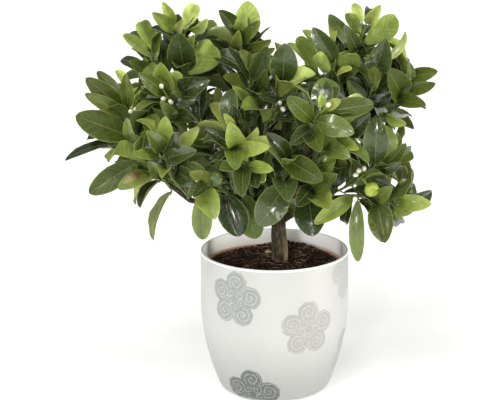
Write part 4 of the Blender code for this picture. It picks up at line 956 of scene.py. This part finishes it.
def build_soil(finish):
    """Crumbs and fibres of the potting mix, strewn over the top of its solid."""
    made = soil_surface()
    grown(made, strewn_tree(), **{
        "Crumb Density": CRUMBS_PER_MM2 / MM ** 2, "Crumb Least": CRUMB_SIZE[0], "Crumb Most": CRUMB_SIZE[1],
        "Fibre Density": FIBRES_PER_MM2 / MM ** 2, "Fibre Least": FIBRE_LENGTH[0],
        "Fibre Most": FIBRE_LENGTH[1], "Fibre Radius": FIBRE_RADIUS, "Seed": SEED,
        "Clump": CLUMP, "Clump Reach": CLUMP_REACH, "Chip": CHIP, "Chip Size": CHIP_SIZE,
        "Crumb": finish["soil"], "Fibre": finish["fibre"]})
    place(made, "potting_soil")


# Cachepot: the solid's profile with finer steps
POT_WALL = 3.4 * MM
POT_STRAIGHT_FROM = 88 * MM
POT_TAPER = 19.5 * MM
POT_FOOT_CORNER = 9 * MM
POT_FOOT_SLOPE = math.radians(22)
POT_FLOOR = 5.5 * MM
POT_SIDES = 144
WALL_STEPS = 14
BEND_STEPS = 8


def wall_radius(z):
    """The cachepot's outer radius at a height above its foot's corner."""
    below = max(0.0, POT_STRAIGHT_FROM - z) / POT_STRAIGHT_FROM
    return POT_RADIUS - POT_TAPER * below ** 2


def arc(centre, radius, start, end, steps):
    """Points along a part of a circle."""
    angles = [start + (end - start) * i / steps for i in range(steps + 1)]
    return [(centre[0] + radius * math.cos(a), centre[1] + radius * math.sin(a)) for a in angles]


def turned(name, profile, sides, finishes):
    """A solid of revolution about Z. The profile's corners are (radius, z, index of the finish above it)."""
    mesh = bpy.data.meshes.new(name)
    work = bmesh.new()
    rows = []
    for radius, z, _ in profile:
        count = sides if radius > 0 else 1
        rows.append([work.verts.new((radius * math.sin(math.tau * i / count),
                                     -radius * math.cos(math.tau * i / count), z)) for i in range(count)])
    for (row, following), (_, _, index) in zip(zip(rows, rows[1:]), profile):
        for i in range(sides):
            corners = [row[i % len(row)], row[(i + 1) % len(row)],
                       following[(i + 1) % len(following)], following[i % len(following)]]
            face = work.faces.new(list(dict.fromkeys(corners)))
            face.material_index = index
    bmesh.ops.recalc_face_normals(work, faces=work.faces)
    work.to_mesh(mesh)
    work.free()
    for finish in finishes:
        mesh.materials.append(finish)
    mesh.shade_smooth()
    mesh.set_sharp_from_angle(angle=POT_EDGE)
    return in_scene(name, mesh)


def build_pot(finish):
    """The cachepot, glazed inside and on its lip, printed outside from the lip's outer edge to the foot."""
    corner_z = POT_FOOT_CORNER * (1 - math.sin(POT_FOOT_SLOPE))
    corner_x = wall_radius(corner_z) - POT_FOOT_CORNER * math.cos(POT_FOOT_SLOPE)
    half_wall = POT_WALL / 2
    lip = arc((POT_RADIUS - half_wall, POT_HEIGHT - half_wall), half_wall, math.pi, 0.0, BEND_STEPS)
    heights = [POT_STRAIGHT_FROM + (corner_z - POT_STRAIGHT_FROM) * i / WALL_STEPS
               for i in range(WALL_STEPS)]
    outer = [(wall_radius(z), z) for z in heights]
    foot = arc((corner_x, POT_FOOT_CORNER), POT_FOOT_CORNER, -POT_FOOT_SLOPE, -math.pi / 2, BEND_STEPS)
    inner = [(wall_radius(z) - POT_WALL, z) for z in reversed(heights[:-1]) if z > POT_FLOOR + POT_WALL]
    floor = [(0.0, POT_FLOOR), (inner[0][0] - POT_WALL, POT_FLOOR)]
    plain = [(*spot, 0) for spot in floor + inner + lip[:-1]]
    printed = [(*spot, 1) for spot in [lip[-1]] + outer + foot]
    made = turned("fine_pot", plain + printed + [(0.0, 0.0, 0)], POT_SIDES,
                  [finish["glaze"], finish["print"]])
    place(made, "glazed_ceramic", "pot")


# How near the solid's corners lie to a stalk's centre line where it starts, in the stalk's radii
STALK_NEAR = 1.2


def stalk_line(cluster, radius):
    """Where a cluster's stalk leaves its twig, where it forks, and its heads' centres."""
    solid = Solid(cluster.name)
    heads = [seen(*spot) for spot in cluster.places]
    spray = next(spray for spray in SPRAYS if spray.name == cluster.spray)
    for root, direction, share in nearest_on_twig(twig_points(spray), cluster.places[0]):
        outward = across(direction, heads[0] - root)
        start_radius, end_radius = TWIG_RADIUS
        start = root + outward * (start_radius + (end_radius - start_radius) * share + STALK_GAP)
        if solid.has(start, within=STALK_NEAR * radius):
            break
    fork = (start + outward * 2 * radius).lerp(heads[0], FORK_SHARE)
    return start, fork, heads


def head_mesh(radius, stretch, cells, relief):
    """A ball about the origin, stretched along Z, whose radius relief(turn, share of height) changes."""
    work = bmesh.new()
    bmesh.ops.create_uvsphere(work, u_segments=cells[0], v_segments=cells[1], radius=radius)
    for corner in work.verts:
        turn = math.atan2(corner.co.y, corner.co.x)
        corner.co *= relief(turn, corner.co.z / radius)
        corner.co.z *= stretch
    return work


def merge(work, part):
    """Move all of a part into work."""
    mesh = bpy.data.meshes.new("part")
    part.to_mesh(mesh)
    part.free()
    work.from_mesh(mesh)
    bpy.data.meshes.remove(mesh)


STALK_SIDES = 8


def stalked_piece(name, start, fork, heads, stalk_radius, make_head, head_finish, stalk_finish):
    """Heads on thin stalks as one piece. make_head gives a head that looks along Z."""
    points, edges, values = [start, fork], [(0, 1)], [{"radius_here": stalk_radius}] * 2
    for head in heads:
        points += [fork, head]
        edges.append((len(points) - 2, len(points) - 1))
        values += [{"radius_here": stalk_radius}] * 2
    made = guide_object(name, points, edges, values)
    w, given, ended = new_geometry_tree("stalks", {"Sides": "Int", "Finish": "Material"})
    stalks = w.tubes(given["Geometry"], w.carried("radius_here", "FLOAT"), given["Sides"])
    grown(made, ended(w.painted(stalks, given["Finish"])), Sides=STALK_SIDES, Finish=stalk_finish)
    work = bmesh.new()
    work.from_mesh(made.data)
    for head in heads:
        part = make_head()
        turn = (head - fork).to_track_quat("Z", "Y").to_matrix().to_4x4()
        part.transform(Matrix.Translation(head) @ turn)
        merge(work, part)
    made.data.materials.clear()
    for item in (stalk_finish, head_finish, stalk_finish):
        made.data.materials.append(item)
    work.to_mesh(made.data)
    work.free()
    made.data.shade_smooth()
    made.data.set_sharp_from_angle(angle=HEAD_EDGE)
    return made


# Which finish of its piece a head and its calyx have
HEAD_FINISH = 1
CALYX_FINISH = 2
CALYX_LOBES = 5
# Calyx: how much wider than its head, cells round and up, height and depth of its lobes as shares of the
# head's half length, thickness
Calyx = namedtuple("Calyx", "over cells edge lobe thickness")
BUD_CALYX = Calyx(1.06, (20, 12), -0.5, 0.12, 0.15 * MM)
FRUIT_CALYX = Calyx(1.02, (40, 40), -0.93, 0.035, 0.3 * MM)
BUD_CELLS = (30, 16)
FRUIT_CELLS = (96, 64)
BUD_PETALS = 5
GROOVE_DEPTH = 0.10
GROOVE_SHARPNESS = 6
DIMPLE_DEPTH = 0.10
DIMPLE_HEIGHT = 0.035
SHOULDER = 0.03
RIND_PITCH = 0.9 * MM
RIND_RELIEF = 0.14 * MM
# Rind sinks towards a gland nearer than the level and is flat past the other, both in pitches
RIND_LEVEL = 0.5
RIND_FLAT = 0.6


def with_calyx(work, radius, stretch, form):
    """Put a green calyx, the lower part of a ball cut off in lobes, round the stalk's end of a head."""
    for face in work.faces:
        face.material_index = HEAD_FINISH
    calyx = head_mesh(radius * form.over, stretch, form.cells, lambda turn, height: 1.0)
    above = [corner for corner in calyx.verts
             if corner.co.z > radius * stretch * (form.edge + form.lobe * math.cos(
                 CALYX_LOBES * math.atan2(corner.co.y, corner.co.x)))]
    bmesh.ops.delete(calyx, geom=above, context="VERTS")
    for face in calyx.faces:
        face.material_index = CALYX_FINISH
    bmesh.ops.solidify(calyx, geom=calyx.faces, thickness=form.thickness)
    merge(work, calyx)
    return work


def bud_head():
    """A closed bud: five petals that meet in grooves."""
    def petals(turn, height):
        groove = abs(math.cos(BUD_PETALS * turn / 2)) ** GROOVE_SHARPNESS
        return 1.0 - GROOVE_DEPTH * groove * (1 - height ** 2)
    work = head_mesh(BUD_RADIUS, BUD_LENGTH, BUD_CELLS, petals)
    return with_calyx(work, BUD_RADIUS, BUD_LENGTH, BUD_CALYX)


def fruit_head():
    """A round green fruit, a little flattened, with a dimple at the far end and pits of oil glands."""
    def rind(turn, height):
        dimple = math.exp(-((1 - height) / DIMPLE_HEIGHT) ** 2)
        return 1.0 - DIMPLE_DEPTH * dimple - SHOULDER * max(0.0, -height) ** 3
    work = head_mesh(FRUIT_RADIUS, FRUIT_LENGTH, FRUIT_CELLS, rind)
    for corner in work.verts:
        pit = noise.voronoi(corner.co / RIND_PITCH)[0][0]
        corner.co += corner.co.normalized() * RIND_RELIEF * (min(pit, RIND_FLAT) - RIND_LEVEL)
    return with_calyx(work, FRUIT_RADIUS, FRUIT_LENGTH, FRUIT_CALYX)


def build_fruit_and_buds(finish):
    """Each cluster of fruit or buds on its stalk as one piece."""
    for clusters, radius, head, slot in ((FRUITS, FRUIT_STALK_RADIUS, fruit_head, "unripe_rind"),
                                         (BUDS, BUD_STALK_RADIUS, bud_head, "flower_buds")):
        for cluster in clusters:
            skin = finish[SKINS.get(cluster.name, "petal")]
            made = stalked_piece("fine_" + cluster.name, *stalk_line(cluster, radius), radius, head, skin,
                                 finish["calyx"])
            place(made, slot, cluster.name)


def new_finish(name):
    """A material, its node tree and its Principled shader."""
    made = bpy.data.materials.new(name)
    made.use_nodes = True
    return made, made.node_tree, made.node_tree.nodes["Principled BSDF"]


# Between which values most of a noise lies
NOISE_RANGE = (0.3, 0.7)
# Leaf, with sizes across the blade as shares of its half width and sizes along it as shares of its length
VEIN_PAIRS = 7.0
VEIN_SLANT = 1.8
VEIN_BOW = 1.2
# How far the veins of the two sides are out of step, and where a vein fades and is full
VEIN_STAGGER = 0.4
VEIN_FADE = (0.18, 0.02)
RIB_WIDTH = 0.5 * MM
RIB_THINNING = 0.3
RIB_FADE = (1.6, 0.4)
MARGIN_FADE = (0.90, 0.99)
LEATHER_GRAIN = 1.1 * MM
MOTTLE_SIZE = 9 * MM
MOTTLE_SHADES = (0.82, 1.16)
# The blade pales from the rib outwards: partly the leaf's own paler edges, partly painted shade near the rib
# and painted light towards the margins, where a curved blade would catch it
OUTWARD_SHADE_AND_LIGHT = (0.86, 1.16)
BLISTER_SIZE = 6 * MM
BLISTER_RELIEF = 7.0
# The middle and the reach of a dry patch across and along the blade, its ragged edge and its brown start
DRY_AT = (0.35, 0.55, 0.0)
DRY_REACH = (0.5, 0.26, 1.0)
DRY_RAGGED = 1.3
DRY_FADE = (1.1, 0.85)
DRY_BROWN = (0.62, 0.42)
# A coat of wax, thicker on old leaves, whose wax is smoother
WAX_RANGE = (0.2, 0.4)
WAX_COAT = (0.85, 0.1)
GRAIN_ROUGHNESS = 0.10
DRY_ROUGHNESS = 0.3
# What the two sides of a blade differ in: whether the tone is paled, how strongly the rib, the side veins
# and the margin show and in what colours, how rib and veins stand out, roughness over the wax's, light
# let through
Side = namedtuple("Side", "paled lines colours relief rough through")
UPPER = Side(0.0, (0.36, 0.05, 0.40), ("#bcc470", "#bcc470", "#bcc470"), (-0.8, -0.35), 0.0, 0.16)
UNDER = Side(0.25, (0.55, 0.30, 0.35), ("#a9b573", "#566b2b", "#a9b573"), (0.8, 0.5), 0.25, 0.32)


def leaf_finish(name, side):
    """Citrus leaf, grown: waxy, leathery upper side with a pale rib; matte, paler underside whose veins
    stand out. Light shines through it a little."""
    made, tree, shader = new_finish(name)
    w = Words(tree)
    tone, blade = w.value_of("tone", "Color"), w.value_of("blade", "Vector")
    wax, dry, half, phase = (w.value_of(key) for key in ("wax", "dry", "half_width", "phase"))
    axes = w.node("ShaderNodeSeparateXYZ", [blade]).outputs
    ahead, beside = axes["Y"], w.calc("ABSOLUTE", axes["X"])
    spot = w.spot()
    mottle, grain, blister = (w.lumps(spot, MOTTLE_SIZE), w.lumps(spot, LEATHER_GRAIN),
                              w.lumps(spot, BLISTER_SIZE, 1.0))

    # Rib: a line of real width that thins towards the tip
    rib_half = w.ramp(ahead, (0.0, 1.0), (RIB_WIDTH, RIB_WIDTH * RIB_THINNING))
    rib = w.ramp(w.calc("DIVIDE", w.calc("MULTIPLY", beside, half), rib_half), RIB_FADE, smooth=True)
    # Side veins: pairs that bow forward from the rib, not quite in step on the two sides
    step = w.calc("MULTIPLY_ADD", w.calc("GREATER_THAN", axes["X"], 0.0), VEIN_STAGGER, phase)
    vein = w.calc("MULTIPLY_ADD", w.calc("POWER", beside, VEIN_BOW), -VEIN_SLANT, step)
    vein = w.calc("FLOORED_MODULO", w.calc("MULTIPLY_ADD", ahead, VEIN_PAIRS, vein), 1.0)
    vein = w.ramp(w.calc("ABSOLUTE", w.calc("SUBTRACT", vein, 0.5)), VEIN_FADE, smooth=True)
    margin = w.ramp(beside, MARGIN_FADE, smooth=True)

    # Mottle is the leaf's own; the paling outwards is partly painted shade and painted light
    shade = w.calc("MULTIPLY", w.ramp(mottle, NOISE_RANGE, MOTTLE_SHADES),
                   w.ramp(beside, (0.0, 1.0), OUTWARD_SHADE_AND_LIGHT))
    colour = w.blend(side.paled, w.vector("MULTIPLY", tone, shade), srgb("#b3c262"))
    for mask, strength, line in zip((rib, vein, margin), side.lines, side.colours):
        colour = w.blend(w.calc("MULTIPLY", mask, strength), colour, srgb(line))
    # Dry patch on one half of the blade, brown where it begins
    off = w.vector("DIVIDE", w.vector("SUBTRACT", blade, DRY_AT), DRY_REACH)
    off = w.vector("LENGTH", off).outputs["Value"]
    off = w.calc("MULTIPLY_ADD", w.calc("SUBTRACT", grain, 0.5), DRY_RAGGED, off)
    patch = w.calc("MULTIPLY", w.ramp(off, DRY_FADE), dry)
    rust = w.blend(w.ramp(ahead, DRY_BROWN), srgb("#b7a277"), srgb("#6e4226"))
    colour = w.blend(patch, colour, rust)

    rough = w.calc("ADD", w.calc("MULTIPLY_ADD", grain, GRAIN_ROUGHNESS, wax), side.rough)
    rough = w.calc("MULTIPLY_ADD", patch, DRY_ROUGHNESS, rough)
    height = w.calc("MULTIPLY_ADD", rib, side.relief[0], grain)
    height = w.calc("MULTIPLY_ADD", vein, side.relief[1], height)
    height = w.calc("MULTIPLY_ADD", blister, BLISTER_RELIEF, height)
    bump = w.node("ShaderNodeBump", {"Strength": 0.5, "Distance": 0.3 * MM, "Height": height})
    feed(tree, shader, {"Base Color": colour, "Roughness": rough, "Normal": bump, "IOR": 1.5})
    if side is UPPER:
        feed(tree, shader, {"Coat Weight": w.ramp(wax, WAX_RANGE, WAX_COAT), "Coat Roughness": 0.13})
    through = w.node("ShaderNodeBsdfTranslucent", {"Color": colour})
    mixed = w.node("ShaderNodeMixShader", [side.through, shader, through])
    feed(tree, tree.nodes["Material Output"], {"Surface": mixed})
    return made


# How far a grain's own tint is mottled
TINT_DRIFT = 0.35


def mottled_finish(name, colours, size, roughness, relief, stretch=(1.0, 1.0, 1.0), detail=4.0, tint=False):
    """A natural surface: colours that drift through a ramp, with matching relief. The ramp runs on each
    piece's own tint where it has one."""
    made, tree, shader = new_finish(name)
    w = Words(tree)
    lumps = w.lumps(w.vector("MULTIPLY", w.spot(), stretch), size, detail)
    if tint:
        drift = w.calc("MULTIPLY_ADD", w.calc("SUBTRACT", lumps, 0.5), TINT_DRIFT, w.value_of("tint"))
    else:
        drift = w.ramp(lumps, NOISE_RANGE)
    tones = w.node("ShaderNodeValToRGB", [drift])
    stops = tones.color_ramp.elements
    for share, _ in colours[1:-1]:
        stops.new(share)
    for stop, (share, colour) in zip(stops, colours):
        stop.position, stop.color = share, srgb(colour)
    bump = w.node("ShaderNodeBump", {"Strength": 0.6, "Distance": relief, "Height": lumps})
    feed(tree, shader, {"Base Color": tones, "Roughness": roughness, "Normal": bump})
    return made


# Bark is paler towards the trunk's right, over the thin stem there, and lower down near the soil: how far
# right, how low, how much
PALE_RIGHT = (8.2 * MM, 10.2 * MM)
PALE_LOW = (152 * MM, 132 * MM)
PALE_SHARE = 0.62


def pale_side(made):
    """Pale the thin stem at the trunk's right."""
    tree, shader = made.node_tree, made.node_tree.nodes["Principled BSDF"]
    w = Words(tree)
    axes = w.node("ShaderNodeSeparateXYZ", [w.spot()]).outputs
    share = w.calc("MULTIPLY", w.ramp(axes["X"], PALE_RIGHT), w.ramp(axes["Z"], PALE_LOW))
    colour = shader.inputs["Base Color"].links[0].from_socket
    colour = w.blend(w.calc("MULTIPLY", share, PALE_SHARE), colour, srgb("#b3a27c"))
    feed(tree, shader, {"Base Color": colour})
    return made


# Glaze: its drift of colour, and the height below which painted shade darkens the outer glaze towards the
# foot
GLAZE_FLOW = 22 * MM
OUTER_GLAZE = ("#babbb9", "#bfc0be")
# Inside and lip: the same glaze as outside made far whiter, painted light for the light the inner wall
# catches
INNER_GLAZE_PAINTED_LIGHT = ("#f7f7f4", "#fbfbf8")
PAINTED_SHADE_BELOW = 78 * MM
PAINTED_SHADE_AT_FOOT = 0.63


def glaze_finish(name, dark, light):
    """Earthenware under a satin white glaze, dipped: a soft sheen with a faint unevenness, and painted shade
    that darkens it towards the foot.
    """
    made, tree, shader = new_finish(name)
    w = Words(tree)
    spot = w.spot()
    # Painted shade: the glaze darkens towards the foot, where the wall curves under and gets less light
    flow = w.lumps(spot, GLAZE_FLOW)
    # The coat runs thin and greyer towards the foot
    height = w.node("ShaderNodeSeparateXYZ", [spot]).outputs["Z"]
    coat = w.ramp(height, (0.0, PAINTED_SHADE_BELOW), (PAINTED_SHADE_AT_FOOT, 1.0), smooth=True)
    colour = w.vector("MULTIPLY", w.blend(flow, srgb(dark), srgb(light)), coat)
    bump = w.node("ShaderNodeBump", {"Strength": 0.15, "Distance": 0.2 * MM, "Height": flow})
    feed(tree, shader, {"Base Color": colour, "Normal": bump, "Roughness": 0.42, "IOR": 1.5})
    return made


# Blossoms printed on the glaze: (degrees round the pot, height in mm, turn in degrees, grey)
# The greys are partly the print's own uneven tones, partly painted shade: the blossom low on the front,
# where the wall turns under, is far darker
BLOSSOMS = [
    (-32, 105, -12, "#868987"), (27, 77, -18, "#979893"), (-22, 8, -15, "#3f4342"), (72, 122, 40, "#a6a8a4"),
    (84, 42, 5, "#979a96"), (128, 98, 25, "#a4a8a6"), (150, 30, -5, "#b0b3b0"), (168, 118, 50, "#a9acaa"),
    (-160, 78, 33, "#c3c5c2"), (-155, 10, 15, "#8d9291"), (-118, 112, -30, "#b4b6b3"),
    (-112, 45, 15, "#9fa3a2"),
]
PETALS = 5
PETAL_OUT = 16.5 * MM
PETAL_RADIUS = 11.0 * MM
HEART_RADIUS = 12.5 * MM
SCROLL_PITCH = 4.0 * MM
CURL_OUT = 7.4 * MM
CURL_RADIUS = 5.0 * MM
CURL_PITCH = 3.3 * MM
PRINT_EDGE = 0.35 * MM
# Scroll lines: where one fades and is full, as shares of their pitch, and how clear of print they are
LINE_FADE = (0.16, 0.04)
LINE_CLEAR = 0.75
# How far inside a petal's edge its scroll ends
SCROLL_END = (0.6 * MM, 1.0 * MM)
# The print's edges waver, and its ink is uneven
WAVER_SIZE = 4 * MM
WAVER = 3.2 * MM
INK_GRAIN = 0.9 * MM
INK_SHADES = (0.58, 1.0)


def blossom_group():
    """A printed blossom: five round petals about a heart, filled but for a scroll line in each petal and a
    small curl between each two. Round is the way round the pot and Up the height, both from its centre."""
    tree = bpy.data.node_groups.new("printed_blossom", "ShaderNodeTree")
    for name in ("Round", "Up", "Turn"):
        tree.interface.new_socket(name, in_out="INPUT", socket_type="NodeSocketFloat")
    tree.interface.new_socket("Print", in_out="OUTPUT", socket_type="NodeSocketFloat")
    given, result = tree.nodes.new("NodeGroupInput").outputs, tree.nodes.new("NodeGroupOutput")
    w = Words(tree)
    reach = w.vector("LENGTH", w.node("ShaderNodeCombineXYZ", [given["Round"], given["Up"]]))
    angle = w.calc("ADD", w.calc("ARCTAN2", given["Up"], given["Round"]), given["Turn"])
    sector = w.calc("MULTIPLY", angle, PETALS / math.tau)
    filled = w.ramp(reach, (HEART_RADIUS, HEART_RADIUS - PRINT_EDGE))
    scrolls = None
    for shift, out, radius, pitch in ((0.0, PETAL_OUT, PETAL_RADIUS, SCROLL_PITCH),
                                      (0.5, CURL_OUT, CURL_RADIUS, CURL_PITCH)):
        own = w.calc("ADD", sector, shift)
        index = w.calc("ROUND", own)
        local = w.calc("MULTIPLY", w.calc("SUBTRACT", own, index), math.tau / PETALS)
        x = w.calc("SUBTRACT", w.calc("MULTIPLY", w.calc("COSINE", local), reach), out)
        y = w.calc("MULTIPLY", w.calc("SINE", local), reach)
        # Scrolls wind one way in one petal and the other way in the next
        hand = w.calc("MULTIPLY_ADD", w.calc("FLOORED_MODULO", index, 2.0), -2.0, 1.0)
        around = w.calc("MULTIPLY", w.calc("ARCTAN2", y, x), hand)
        distance = w.vector("LENGTH", w.node("ShaderNodeCombineXYZ", [x, y]))
        wound = w.calc("MULTIPLY_ADD", around, 1 / math.tau, w.calc("DIVIDE", distance, pitch))
        wound = w.calc("FLOORED_MODULO", w.calc("ADD", wound, index), 1.0)
        line = w.ramp(w.calc("ABSOLUTE", w.calc("SUBTRACT", wound, 0.5)), LINE_FADE)
        inside = w.ramp(distance, (radius, radius - PRINT_EDGE))
        filled = w.calc("MAXIMUM", filled, inside)
        if scrolls is None:
            scrolls = w.calc("MULTIPLY", line, w.ramp(distance, [radius - end for end in SCROLL_END]))
        else:
            scrolls = w.blend(inside, scrolls, line, "FLOAT")
    clear = w.calc("MULTIPLY_ADD", scrolls, -LINE_CLEAR, 1.0)
    feed(tree, result, [w.calc("MULTIPLY", filled, clear)])
    return tree


def print_finish():
    """The same glaze with blossoms printed in grey on the wall, fired in: they share its sheen."""
    made = glaze_finish("printed_white_glaze", *OUTER_GLAZE)
    tree = made.node_tree
    shader = tree.nodes["Principled BSDF"]
    w = Words(tree)
    spot = w.spot()
    waver = w.vector("SUBTRACT", w.lumps(spot, WAVER_SIZE).outputs["Color"], (0.5,) * 3)
    spot = w.vector("ADD", spot, w.vector("MULTIPLY", waver, (WAVER,) * 3))
    axes = w.node("ShaderNodeSeparateXYZ", [spot]).outputs
    angle = w.calc("ARCTAN2", axes["X"], w.calc("MULTIPLY", axes["Y"], -1.0))
    radius = w.vector("LENGTH", w.node("ShaderNodeCombineXYZ", [axes["X"], axes["Y"]]))
    ink = w.ramp(w.lumps(spot, INK_GRAIN), NOISE_RANGE, INK_SHADES)
    colour = shader.inputs["Base Color"].links[0].from_socket
    group = blossom_group()
    for degrees, height, turn, grey in BLOSSOMS:
        away = w.calc("WRAP", w.calc("SUBTRACT", angle, math.radians(degrees)), math.pi, -math.pi)
        blossom = w.node("ShaderNodeGroup", {
            "Round": w.calc("MULTIPLY", away, radius), "Up": w.calc("SUBTRACT", axes["Z"], height * MM),
            "Turn": math.radians(turn)}, node_tree=group)
        colour = w.blend(w.calc("MULTIPLY", blossom, ink), colour, srgb(grey))
    feed(tree, shader, {"Base Color": colour})
    return made


def make_finishes():
    """Every finish by its short name."""
    return {
        "leaf": leaf_finish("citrus_leaf_waxy", UPPER),
        "leaf_under": leaf_finish("citrus_leaf_underside", UNDER),
        "shoot": mottled_finish("green_shoot", [(0.0, "#4f6230"), (1.0, "#74873f")], 3 * MM, 0.45, 0.1 * MM),
        # Young citrus bark, grown: olive brown, streaked along the wood, dull
        "bark": pale_side(mottled_finish(
            "citrus_bark", [(0.0, "#1e1a12"), (0.45, "#382f21"), (0.75, "#554930"), (1.0, "#7d6c4a")],
            2.2 * MM, 0.85, 0.5 * MM, stretch=(1.0, 1.0, 0.3), detail=6.0)),
        # Peat and bark mix, loose and damp: nearly black with red-brown and pale bits
        "soil": mottled_finish(
            "peat_mix", [(0.0, "#0e0a08"), (0.55, "#221611"), (0.88, "#4e2e21"), (1.0, "#6e5038")],
            1.6 * MM, 0.92, 0.5 * MM, tint=True),
        "peat": mottled_finish("peat_bed", [(0.0, "#120c08"), (0.6, "#2a1b13"), (1.0, "#3f2618")],
                               2.0 * MM, 0.95, 0.8 * MM),
        "fibre": mottled_finish("peat_fibre", [(0.0, "#2a1a13"), (0.55, "#5e3d2d"), (1.0, "#c0a687")],
                                1.5 * MM, 0.9, 0.1 * MM, tint=True),
        # Polypropylene, moulded with a dull grain
        "nursery": mottled_finish("moulded_polypropylene", [(0.0, "#dd9c7b"), (1.0, "#e8b090")],
                                  0.8 * MM, 0.5, 0.05 * MM),
        # Calamondin rind, grown: green with a yellow cast; the darker copy is painted shade for the fruit
        # that hangs in the shade
        "rind": mottled_finish("unripe_rind", [(0.0, "#93a53e"), (0.6, "#a6b648"), (1.0, "#b6c458")],
                               4 * MM, 0.38, 0.12 * MM),
        "rind_painted_shade": mottled_finish("green_rind", [(0.0, "#485a31"), (1.0, "#63753f")],
                                    3 * MM, 0.38, 0.12 * MM),
        "petal": mottled_finish("waxy_petal", [(0.0, "#c9bd92"), (0.3, "#ebe7d2"), (1.0, "#f6f5ea")],
                                1.2 * MM, 0.5, 0.05 * MM),
        "calyx": mottled_finish("green_calyx", [(0.0, "#7d9540"), (1.0, "#a2b45c")],
                                1.2 * MM, 0.5, 0.05 * MM),
        # Inside and lip: the whiter copy of the glaze, painted light
        "glaze": glaze_finish("satin_white_glaze", *INNER_GLAZE_PAINTED_LIGHT),
        "print": print_finish(),
    }


# The photograph's frame and where the rim's centre stands in it
FRAME_WIDTH, FRAME_HEIGHT = 500, 400
RIM_CENTRE_PX = (274.4, 248.7)
PX_PER_MM = 1.0571
SENSOR_MM = 36.0


def place_camera():
    """The photograph's camera."""
    data = bpy.data.cameras.new("camera")
    data.sensor_width = SENSOR_MM
    data.lens = SENSOR_MM * (EYE_DISTANCE / MM) * PX_PER_MM / FRAME_WIDTH
    data.shift_x = (FRAME_WIDTH / 2 - RIM_CENTRE_PX[0]) / FRAME_WIDTH
    data.shift_y = (RIM_CENTRE_PX[1] - FRAME_HEIGHT / 2) / FRAME_WIDTH
    data.clip_end = 100.0
    made = in_scene("camera", data)
    made.location = EYE
    made.rotation_euler = VIEW_AWAY.to_track_quat("-Z", "Y").to_euler()
    bpy.context.scene.camera = made


def place_sun(name, azimuth, elevation, strength, spread, colour):
    """A broad soft light from azimuth degrees to the right of the viewer, elevation above the floor."""
    data = bpy.data.lights.new(name, "SUN")
    data.energy = strength
    data.angle = math.radians(spread)
    data.color = srgb(colour)[:3]
    a, e = math.radians(azimuth), math.radians(elevation)
    towards = Vector((math.sin(a) * math.cos(e), -math.cos(a) * math.cos(e), math.sin(e)))
    in_scene(name, data).rotation_euler = towards.to_track_quat("Z", "Y").to_euler()


# Lights: azimuth, elevation, strength, spread in degrees, colour
SUNS = {
    "left_screen": (-74, 8, 0.93, 12, "#fffefa"), "front_screen": (-12, 14, 1.00, 8, "#fffefa"),
    "overhead": (-8, 60, 0.70, 36, "#fffefa"), "front_window": (-18, 46, 0.50, 12, "#fffef9"),
    "left_window": (-62, 38, 0.45, 12, "#fffef9"), "right_window": (42, 40, 0.42, 12, "#fffef9"),
    "right_fill": (62, 20, 0.30, 30, "#fffdf6"), "right_screen": (70, 5, 1.65, 12, "#fffdf6"),
}
WORLD_STRENGTH = 0.22
# A light table: the floor glows a little, which keeps shadows pale
FLOOR_GLOW = 0.38
FLOOR_REACH = 12.0
FLOOR_DROP = 0.5 * MM


def build_studio():
    """Lights round the pot and the pale floor that it stands on."""
    world = bpy.data.worlds.new("studio")
    bpy.context.scene.world = world
    world.use_nodes = True
    feed(world.node_tree, world.node_tree.nodes["Background"],
         {"Color": srgb("#ffffff"), "Strength": WORLD_STRENGTH})
    for name, sun in SUNS.items():
        place_sun(name, *sun)
    bpy.context.scene.view_settings.view_transform = "Standard"
    mesh = bpy.data.meshes.new("floor")
    mesh.from_pydata([(x * FLOOR_REACH, y * FLOOR_REACH, -FLOOR_DROP)
                      for x, y in ((-1, -1), (1, -1), (1, 1), (-1, 1))], [], [(0, 1, 2, 3)])
    made, tree, shader = new_finish("pale_floor")
    w = Words(tree)
    colour = w.blend(w.lumps(w.spot(), 60 * MM), srgb("#f6f6f6"), srgb("#fafafa"))
    feed(tree, shader, {"Base Color": colour, "Roughness": 0.9, "Emission Color": srgb("#ffffff"),
                        "Emission Strength": FLOOR_GLOW})
    mesh.materials.append(made)
    floor = in_scene("floor", mesh)


def main():
    """Build every piece, then give the two solids that stay their finishes."""
    finish = make_finishes()
    build_sprays(finish)
    build_wood(finish)
    build_soil(finish)
    build_pot(finish)
    build_fruit_and_buds(finish)
    for name, item in (("soil", "peat"), ("nursery_pot", "nursery")):
        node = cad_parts[name]
        node.data.materials.clear()
        node.data.materials.append(finish[item])
    build_studio()
    place_camera()


main()
